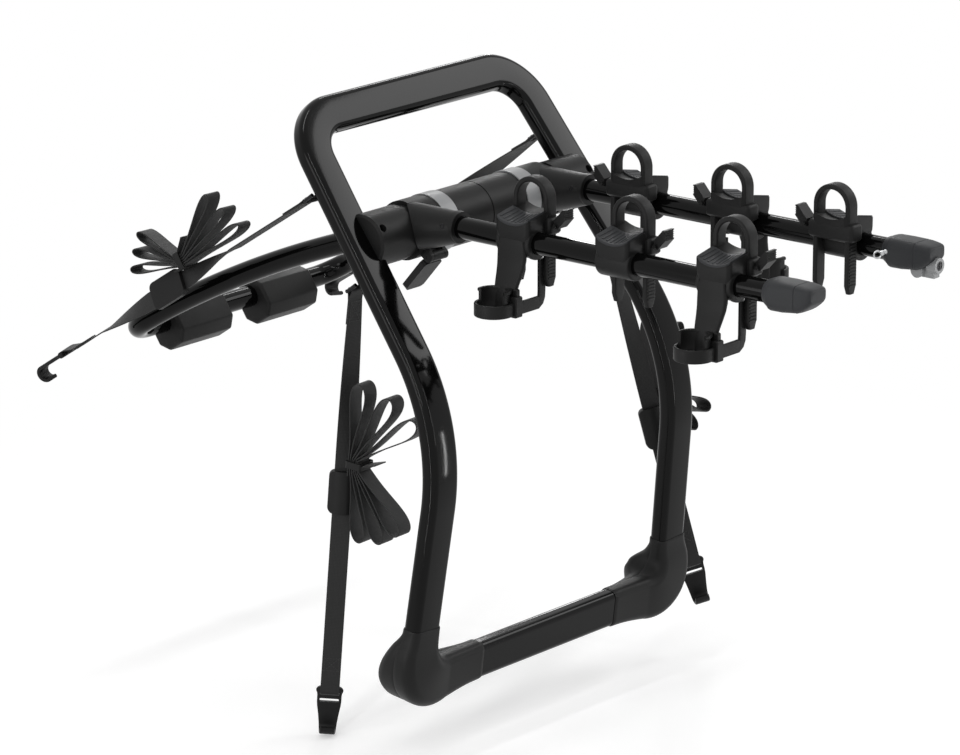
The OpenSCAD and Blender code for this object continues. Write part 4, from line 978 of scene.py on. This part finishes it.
class RACK_OT_cradle_straps(bpy.types.Operator):
    """Mould the rubber straps that close over the bikes' tubes, with their ribs"""
    bl_idname = "rack.cradle_straps"
    bl_label = "Cradle straps"

    def execute(self, context):
        sizes = context.scene.rack_sizes
        w, t = CRADLE_STRAP["width"], CRADLE_STRAP["thick"]
        point_len, point_w, edge = 8, 0.55, 2.2
        rib = (1.8 * MM, (w - 6) * MM, 2 * sizes.rib_height)
        path = cradle_strap_path(28)
        far = lengths([p for p, _ in path])
        rings = []
        for (p, out), d in zip(path, far):
            end = min(1, min(d, far[-1] - d) / point_len)
            narrow = point_w + (1 - point_w) * math.sin(math.pi / 2 * end)
            rings.append([p + q.x * X + out * q.y for q in round_rect(w * narrow, t, edge, 4)])
        strap = skin(rings)
        for name, number, frame_of in cradle_places():
            body = f"{name}_cradle_{number}"
            label = f"{name.title()}_cradle_strap_{number}"
            piece(label, moved(strap, frame_of), "black_rubber", body, [f"{name}_cradle_strap_{number}"])
            turn = frame_of.to_3x3()
            legs = path[1:9], path[-9:-1]
            lines = [[(frame_of @ (p + out * (t / 2)), turn @ out) for p, out in leg] for leg in legs]
            bars(f"{label}_ribs", lines, sizes.rib_step, rib, "black_rubber", body)
        return {"FINISHED"}


def saddle_top(x, y):
    """Height of a cradle's saddle above the arm, rising to both ends and to the strap side."""
    return SADDLE["low"] + SADDLE["slope"] * (x + SADDLE["front"]) + SADDLE["rise"] * (y / CRADLE_HALF) ** 2


class RACK_OT_cradles(bpy.types.Operator):
    """Mould the cradles, with open undersides where a drop hangs, and their rubber saddles"""
    bl_idname = "rack.cradles"
    bl_label = "Cradles and saddles"

    def execute(self, context):
        cradles = {drop: self.cradle(drop) for drop in (False, True)}
        saddle, ribs = self.saddle()
        rib_step, rib = 6 * MM, (2.2 * MM, 28 * MM, 1.4 * MM)
        for name, number, frame_of in cradle_places():
            body, title = f"{name}_cradle_{number}", name.title()
            cradle = moved(cradles[number in DROPS[name]], frame_of)
            piece(f"{title}_cradle_{number}", cradle, "plastic", body, [body])
            label = f"{title}_saddle_{number}"
            piece(label, moved(saddle, frame_of), "grey_rubber", body, [f"{name}_saddle_pad_{number}"])
            line = [(frame_of @ p, frame_of.to_3x3() @ out) for p, out in ribs]
            bars(f"{label}_ribs", [line], rib_step, rib, "grey_rubber", body)
        return {"FINISHED"}

    def cradle(self, drop):
        """Block under the saddle, rings round the arm and the housing that the strap passes."""
        # Each section: height, half length, reach to the bare side and to the strap side
        sections = (
            (4, 24, 20.5, 20.5), (10, 25.5, 22, 25), (15, 26.6, 22.5, 32), (20, 27, 22.5, 36.5),
            (30, 27, 22.5, 37), (60, 27, 22, 37))
        block_r, ring_edge = 6, 2
        rings = []
        for z, half, bare, strap in sections:
            outline = round_rect(bare + strap, 2 * half, block_r, 5)
            rings.append([Vector(((strap - bare) / 2 + q.x, q.y, z)) for q in outline])
        # Reach of the cut for the saddle, past the block on every side
        past_x, past_y, past_z = (-60, 70), 40, 120
        scoop = []
        for x in past_x:
            profile = [(y, saddle_top(x, y)) for y in range(-past_y, past_y + 1, 4)]
            profile += [(past_y, past_z), (-past_y, past_z)]
            scoop.append([Vector((x, y, z)) for y, z in profile])
        hole, bore_half, end = ARM_R + 2 * FIT, 60, 26.5
        gap, hollow_half, hollow_r = 19.6, 19.4, CRADLE_R - 0.5
        cutters = [skin(scoop), rod_y(hole, -bore_half, bore_half)]
        spans = [(-end, end)]
        if drop:
            cutters.append(rod_y(hollow_r, -hollow_half, hollow_half))
            spans = [(-end, -gap), (gap, end)]
        parts = [carved(skin(rings), cutters)]
        parts += [soft_rod_y(CRADLE_R, y0, y1, ring_edge, hole) for y0, y1 in spans]
        middle, wide, long, edge = 24.5, 25, 70, 5.5
        housing = []
        for z, inset in ((7, 5), (9, 1.5), (11, 0), (26, 0), (28.5, 1), (30, 3)):
            outline = round_rect(wide - 2 * inset, long - 2 * inset, edge - inset / 2, 5)
            housing.append([Vector((middle + q.x, q.y, z)) for q in outline])
        return joined(parts + [skin(housing)])

    def saddle(self):
        """Rubber saddle, and the points and ways outwards of its ribs."""
        wide = SADDLE["front"] + SADDLE["back"]
        middle = (SADDLE["back"] - SADDLE["front"]) / 2
        reach, thick, edge, lift, rib_lift = CRADLE_HALF - 2, 3.6, 1.7, 0.9, 2.6
        lap, taper_len, taper = 1, 5, 5
        rings = []
        for y in range(-reach, reach + 1, 2):
            end = min(1, (reach + 0.5 - abs(y)) / taper_len)
            outline = round_rect(wide + lap - taper * (1 - end), thick, edge, 4)
            section = [Vector((middle + q.x, q.y)) for q in outline]
            rings.append([Vector((q.x, y, saddle_top(q.x, y) + lift + q.y)) for q in section])
        ribs = []
        for y in range(4 - reach, reach - 3, 3):
            out = Vector((-SADDLE["slope"], -2 * SADDLE["rise"] * y / CRADLE_HALF ** 2, 1))
            ribs.append((Vector((middle, y, saddle_top(middle, y) + rib_lift)), out))
        return skin(rings), ribs


class RACK_OT_sway_drops(bpy.types.Operator):
    """Mould the anti-sway drops with their cups, and the straps and catches that close the cups"""
    bl_idname = "rack.sway_drops"
    bl_label = "Anti-sway drops"

    def execute(self, context):
        drop, (strap, catch) = self.drop(), self.strap()
        for name, number, frame_of in cradle_places():
            if number not in DROPS[name]:
                continue
            body, title = f"{name}_sway_{number}", name.title()
            for label, shape, kind in (("drop", drop, "plastic"), ("strap", strap, "black_rubber")):
                node = f"{name}_sway_{label}_{number}"
                piece(f"{title}_sway_{label}_{number}", moved(shape, frame_of), kind, body, [node])
            piece(f"{title}_sway_catch_{number}", moved(catch, frame_of), "plastic", body)
        return {"FINISHED"}

    def arc(self, radius, first, last, section, centre):
        """Band with an upright section round a centre, from one angle to another."""
        rings = []
        for i in range(41):
            a = math.radians(first + (last - first) * i / 40)
            out = Vector((math.cos(a), math.sin(a), 0))
            rings.append([centre + out * (radius + q.x) + Vector((0, 0, q.y)) for q in section])
        return skin(rings)

    def cup_at(self, up):
        return Vector((-CUP["out"], CUP["shift"], -CUP["down"])) + Vector((0, 0, up))

    def drop(self):
        """Ring on the arm, plate, and cup with its rim and the web under it."""
        # Stations of the plate: sideways, height, half width and thickness
        plate = (
            (-16, 9, 19, 8), (-17.5, 0, 21, 8), (-18, -10, 22.5, 8), (-18.6, -20, 22.5, 7.5),
            (-20.5, -30, 21.5, 7), (-24, -40, 20, 7), (-28, -50, 18.5, 7), (-31, -60, 17.5, 6.5),
            (-32.4, -70, 17, 6), (-32.6, -87, 17, 6))
        stations = []
        for x, z, half, thick in plate:
            stations.append((Vector((x, 1.5, z)), Y, round_rect(2 * half, thick, thick / 2 - 0.3, 5)))
        ring_r, ring_half, ring_edge = 20.4, 19, 2.5
        ring = soft_rod_y(ring_r, -ring_half, ring_half, ring_edge, ARM_R + 2 * FIT)
        middle, top, wall = CUP["radius"] - CUP["wall"] / 2, CUP["height"] / 2, CUP["wall"]
        # Bands of the cup, its rim and the web: outwards, half their turn, width, height, edge and up
        bands = []
        for out, turn, wide, high, edge, up in (
            (0, 105, wall, CUP["height"], 1.5, 0),
            (0.8, 103, wall + 2.4, 5, 2, top - 2),
            (-3, 60, 5, 6, 2, 4 - top),
        ):
            section = round_rect(wide, high, edge, 4)
            bands.append(self.arc(middle + out, -turn, turn, section, self.cup_at(up)))
        return joined([ring, bent_bar(stations), *bands])

    def strap(self):
        """Strap round the cup with its tail turned up, and the catch that holds it."""
        high, thick, edge, tail = SWAY["height"], SWAY["thick"], 1.4, SWAY["tail"]
        tail_high = 13
        band_at = self.cup_at(1 + high / 2 - CUP["height"] / 2)
        band_r = CUP["radius"] + FIT + thick / 2
        band = self.arc(band_r, 270, 88, round_rect(thick, high, edge, 4), band_at)
        # Stations of the tail: sideways and up
        ends = [
            (0, 0), (20, 0), (40, 0), (tail - 7, 0), (tail - 2.4, 1.6), (tail - 0.6, 6),
            (tail, 14), (tail, 30), (tail, 56)]
        stations = []
        for i, (x, z) in enumerate(ends):
            before, after = ends[max(i - 1, 0)], ends[min(i + 1, len(ends) - 1)]
            along = Vector((after[0] - before[0], 0, after[1] - before[1])).normalized()
            section = round_rect(high if i < 4 else tail_high, thick, edge, 4)
            stations.append((band_at + Vector((x, -band_r, z)), along.cross(Y), section))
        # Each block of the catch: sideways, off the strap, up, length, height, thickness and edge
        blocks = []
        for x, off, up, long, tall, deep, r in ((9, -0.6, 3, 13, 27, 11, 2.5), (13.5, 0.5, 19, 7, 13, 7, 2)):
            bar = []
            for d, inset in ((0, 2), (1, 0), (long - 1, 0), (long, 2)):
                section = round_rect(tall - inset, deep - inset, r - inset / 2, 4)
                bar.append((band_at + Vector((x + d, off - band_r, up)), Z, section))
            blocks.append(bent_bar(bar))
        return joined([band, bent_bar(stations)]), joined(blocks)


class RACK_OT_arm_caps(bpy.types.Operator):
    """Mould the rubber caps at the arms' ends"""
    bl_idname = "rack.arm_caps"
    bl_label = "Arm caps"

    def execute(self, context):
        # Each ring: distance from the rear, drop, half width, half height and squareness, 2 being round
        rings_of = (
            (0, 0, 14.8, 14.8, 2), (0, 0, 15.6, 15.6, 2), (0.6, 0, 16.2, 16.2, 2), (8.5, 0, 19.8, 19.4, 2.4),
            (10.5, 0, 20.6, 20, 2.8), (13, 0, 20.8, 20.2, 3.2), (30, 0.4, 20.6, 19.4, 4.4),
            (50, 1.4, 20, 17.8, 5), (50.8, 1.4, 19.4, 17.2, 5), (51.6, 1.4, 19.4, 17.2, 5),
            (52.4, 1.4, 19.9, 17.7, 5), (58, 2.2, 19.6, 16.6, 5), (63, 3.4, 19, 14.8, 5),
            (68, 5, 18.2, 12.4, 5), (71.5, 6.2, 17.4, 10.4, 4.6), (73.2, 6.8, 16.4, 9, 4.2),
            (CAP_LEN, 7, 15, 7.6, 4))
        for name, start in CAPS.items():
            base = Vector((SIDES[name] * ARM_X, -start, ARM_Z))
            rings = []
            for d, drop, half_w, half_h, square in rings_of:
                ring = []
                for q in circle(1, 56):
                    swell = (abs(q.x) ** square + abs(q.y) ** square) ** (-1 / square)
                    ring.append(base + Vector((q.x * swell * half_w, -d, drop + q.y * swell * half_h)))
                rings.append(ring)
            cap = f"{name}_arm_cap"
            piece(cap.capitalize(), skin(rings), "grey_rubber", "arms", [cap], sharp=28)
        return {"FINISHED"}


class RACK_OT_cable_end(bpy.types.Operator):
    """Crimp the end of the locking cable that shows in the far cap"""
    bl_idname = "rack.cable_end"
    bl_label = "Cable end"

    def execute(self, context):
        base = Vector((ARM_X - 17, -CAPS["far"] - 12, ARM_Z + 3))
        way = Vector((-0.72, 0.62, -0.3)).normalized()
        aside = way.cross(Z).normalized()
        up = aside.cross(way)
        # Rings of the crimped sleeve: distance and radius
        sleeve = (
            (0, 2.2), (0.6, 3.2), (4, 3.4), (4.6, 2.9), (6, 2.9), (6.6, 3.4), (10, 3.4),
            (10.8, 2.6), (11, 1.6))
        crimp = skin([
            [base + way * d + (aside * q.x + up * q.y) * r for q in circle(1, 24)] for d, r in sleeve])
        eye_out, eye_r, wire_r, steps = 14.5, 4.6, 1.3, 32
        eye = base + way * eye_out
        rings = []
        for i in range(steps):
            a = 2 * math.pi * i / steps
            out = way * math.cos(a) + up * math.sin(a)
            rings.append([
                eye + out * (eye_r + wire_r * q.x) + aside * (wire_r * q.y) for q in circle(1, 10)])
        piece("Cable_end", joined([crimp, skin(rings, True)]), "steel", "arms")
        return {"FINISHED"}


class RACK_OT_fasteners(bpy.types.Operator):
    """Set the bracket bolts and the collar screws"""
    bl_idname = "rack.fasteners"
    bl_label = "Bolts and screws"

    def execute(self, context):
        sizes = context.scene.rack_sizes
        lean = Matrix.Rotation(-UPPER_LEAN, 3, "X")
        inner = FRAME_HALF - FRAME_TUBE[0] / 2
        bolt_out = BRACKET["radius"] * 0.76
        screw_at, screw_way = Vector((-19.6, -78, ARM_Z + 3)), Vector((-1, 0, 0.2))
        bolts, screws = [], []
        for side in (NEAR, FAR):
            for x, way in ((BRACKET["out"], -Y), (BRACKET["in"], Z)):
                out = lean @ way
                bolts.append([(side * (x + inner) / 2 * X + out * bolt_out, out)])
            screws.append([(side * ARM_X * X + screw_at, screw_way)])
        head = self.head()
        tree = heads_on_points()
        for name, places, radius, body in (
            ("Bracket_bolts", bolts, sizes.bolt_head, "frame"),
            ("Collar_screws", screws, sizes.screw_head, "arms"),
        ):
            grown(path_mesh(name, places), tree, {"Head": head, "Head radius": radius}, "black_steel", body)
        dropped(head)
        return {"FINISHED"}

    def head(self):
        """Socket head of radius 1 with a hexagonal recess."""
        def hexagon(angle, half):
            return half / math.cos((angle + math.pi / 6) % (math.pi / 3) - math.pi / 6)

        # Each ring: radius or half width, height, and whether it has six sides
        rings = []
        for radius, z, six in ((1, -0.2, 0), (1, 0.5, 0), (0.9, 0.62, 0), (0.5, 0.62, 1), (0.48, 0.1, 1)):
            ring = []
            for i in range(24):
                a = 2 * math.pi * i / 24
                r = hexagon(a, radius) if six else radius
                ring.append(Vector((r * math.cos(a), r * math.sin(a), z)) / MM)
            rings.append(ring)
        return linked("Socket_head", solid("Socket_head", skin(rings)))


class RACK_OT_stage(bpy.types.Operator):
    """Set the floor, the lamps and the camera"""
    bl_idname = "rack.stage"
    bl_label = "Stage"

    def execute(self, context):
        scene = context.scene
        scene.view_settings.view_transform = "Standard"
        self.floor(scene)
        self.world(scene)
        self.lamps()
        self.camera(scene)
        return {"FINISHED"}

    def floor(self, scene):
        # Half its side, its height under the lowest hook, and where it fades to white, in metres
        size, low, fade = 9, CAD_BOX[0][2] - 0.002, (0.5, 1.8)
        mesh = bpy.data.meshes.new("Studio_floor")
        corners = [(x * size, y * size, low) for x, y in ((-1, -1), (1, -1), (1, 1), (-1, 1))]
        mesh.from_pydata(corners, [], [(0, 1, 2, 3)])
        # Matt studio card: even and pale, lifted a little for the lens, so that only the soft shadow shows
        made = bpy.data.materials.new("Pale_studio_floor")
        tree = empty_tree(made)
        place = add(tree, "ShaderNodeTexCoord").outputs["Object"]
        mottle = add(tree, "ShaderNodeTexNoise", {"Vector": place, "Scale": 3.0})
        pale = scene.rack_finishes.floor
        tone = add(tree, "ShaderNodeMix", {
            "Factor": mottle.outputs["Fac"], "A": rgba(pale, 0.99), "B": rgba(pale)}, data_type="RGBA")
        matt = add(tree, "ShaderNodeBsdfDiffuse", {"Color": tone.outputs["Result"]})
        lift = add(tree, "ShaderNodeEmission", {"Color": (1, 1, 1, 1), "Strength": 0.25})
        lit = add(tree, "ShaderNodeAddShader", {0: matt.outputs["BSDF"], 1: lift.outputs["Emission"]})
        white = add(tree, "ShaderNodeEmission", {"Color": (1, 1, 1, 1), "Strength": 1.0})
        reach = add(tree, "ShaderNodeVectorMath", {0: place}, operation="LENGTH")
        far = add(tree, "ShaderNodeMapRange", {
            "Value": reach.outputs["Value"], "From Min": fade[0], "From Max": fade[1]},
            interpolation_type="SMOOTHSTEP")
        faded = add(tree, "ShaderNodeMixShader", {
            0: far.outputs["Result"], 1: lit.outputs["Shader"], 2: white.outputs["Emission"]})
        shown = add(tree, "ShaderNodeMixShader", {
            0: seen_directly(tree), 1: matt.outputs["BSDF"], 2: faded.outputs["Shader"]})
        add(tree, "ShaderNodeOutputMaterial", {"Surface": shown.outputs["Shader"]})
        mesh.materials.append(made)
        linked("Studio_floor", mesh)

    def world(self, scene):
        scene.world = bpy.data.worlds.new("Studio_surround")
        tree = empty_tree(scene.world)
        soft = add(tree, "ShaderNodeBackground", {"Color": (1, 1, 1, 1), "Strength": 0.5})
        white = add(tree, "ShaderNodeBackground", {"Color": (1, 1, 1, 1), "Strength": 1.0})
        shown = add(tree, "ShaderNodeMixShader", {
            0: seen_directly(tree), 1: soft.outputs["Background"], 2: white.outputs["Background"]})
        add(tree, "ShaderNodeOutputWorld", {"Surface": shown.outputs["Shader"]})

    def lamps(self):
        # Each softbox: place and size in metres, and power in watts; all face the hub
        for name, place, size, power in (
            ("Key_softbox", (-2.6, -1.0, 1.5), (0.07, 2.2), 16),
            ("Side_softbox", (-2.9, 0.9, 0.4), (1.0, 1.4), 12),
            ("Fill_softbox", (1.2, -3.0, 0.9), (0.07, 2.0), 11),
            ("Handle_softbox", (2.3, -1.3, 1.65), (1.4, 1.0), 17),
            ("Rim_softbox", (2.2, 1.6, 1.4), (0.1, 2.0), 11),
            ("Top_softbox", (0.0, 0.3, 2.6), (1.6, 0.2), 14),
            ("Left_strip", (-1.15, -0.05, -0.25), (0.012, 0.7), 1.4),
            ("Front_strip", (0.9, -1.25, -0.35), (0.02, 0.5), 1.2),
        ):
            lamp = bpy.data.lights.new(name, "AREA")
            lamp.shape = "RECTANGLE"
            lamp.size, lamp.size_y = size
            lamp.energy = power
            made = linked(name, lamp)
            made.location = place
            made.rotation_euler = Vector(place).to_track_quat("Z", "Y").to_euler()
            made.visible_camera = False

    def camera(self, scene):
        turn, rise = math.radians(50), math.radians(16)
        distance, aside, lift, lens = 6.753, 0.01104, -0.2169, 195
        back = Vector((-math.sin(turn) * math.cos(rise), -math.cos(turn) * math.cos(rise), math.sin(rise)))
        right = Vector((math.cos(turn), -math.sin(turn), 0))
        up = back.cross(right)
        camera = bpy.data.cameras.new("Photo_camera")
        camera.lens, camera.sensor_width, camera.sensor_fit = lens, 36, "HORIZONTAL"
        camera.clip_end = 40
        made = linked("Photo_camera", camera)
        made.matrix_world = Matrix((right, up, back)).transposed().to_4x4()
        made.matrix_world.translation = back * distance + right * aside + up * lift
        scene.camera = made


STEPS = (
    RACK_OT_stage, RACK_OT_cad_finishes, RACK_OT_frame_tube, RACK_OT_foot_boots, RACK_OT_feet,
    RACK_OT_trunk_leg, RACK_OT_trunk_pads, RACK_OT_webbing, RACK_OT_strap_hooks, RACK_OT_stitching,
    RACK_OT_cradles, RACK_OT_cradle_straps, RACK_OT_sway_drops, RACK_OT_arm_caps, RACK_OT_cable_end,
    RACK_OT_fasteners)


class RACK_PT_dressing(bpy.types.Panel):
    """Lists the rack's pieces and its sizes and colours"""
    bl_idname = "RACK_PT_dressing"
    bl_label = "Trunk bike rack"
    bl_space_type = "VIEW_3D"
    bl_region_type = "UI"
    bl_category = "Rack"

    def draw(self, context):
        for group in (context.scene.rack_sizes, context.scene.rack_finishes):
            box = self.layout.box()
            for key in group.bl_rna.properties.keys():
                if key not in {"rna_type", "name"}:
                    box.prop(group, key)
        for step in STEPS:
            self.layout.operator(step.bl_idname)


CLASSES = (RackSizes, RackFinishes, *STEPS, RACK_PT_dressing)


def register():
    for cls in CLASSES:
        bpy.utils.register_class(cls)
    bpy.types.Scene.rack_sizes = bpy.props.PointerProperty(type=RackSizes)
    bpy.types.Scene.rack_finishes = bpy.props.PointerProperty(type=RackFinishes)


def unregister():
    del bpy.types.Scene.rack_finishes
    del bpy.types.Scene.rack_sizes
    for cls in reversed(CLASSES):
        bpy.utils.unregister_class(cls)


def main():
    register()
    for step in STEPS:
        area, name = step.bl_idname.split(".")
        getattr(getattr(bpy.ops, area), name)()


if __name__ == "__main__":
    main()
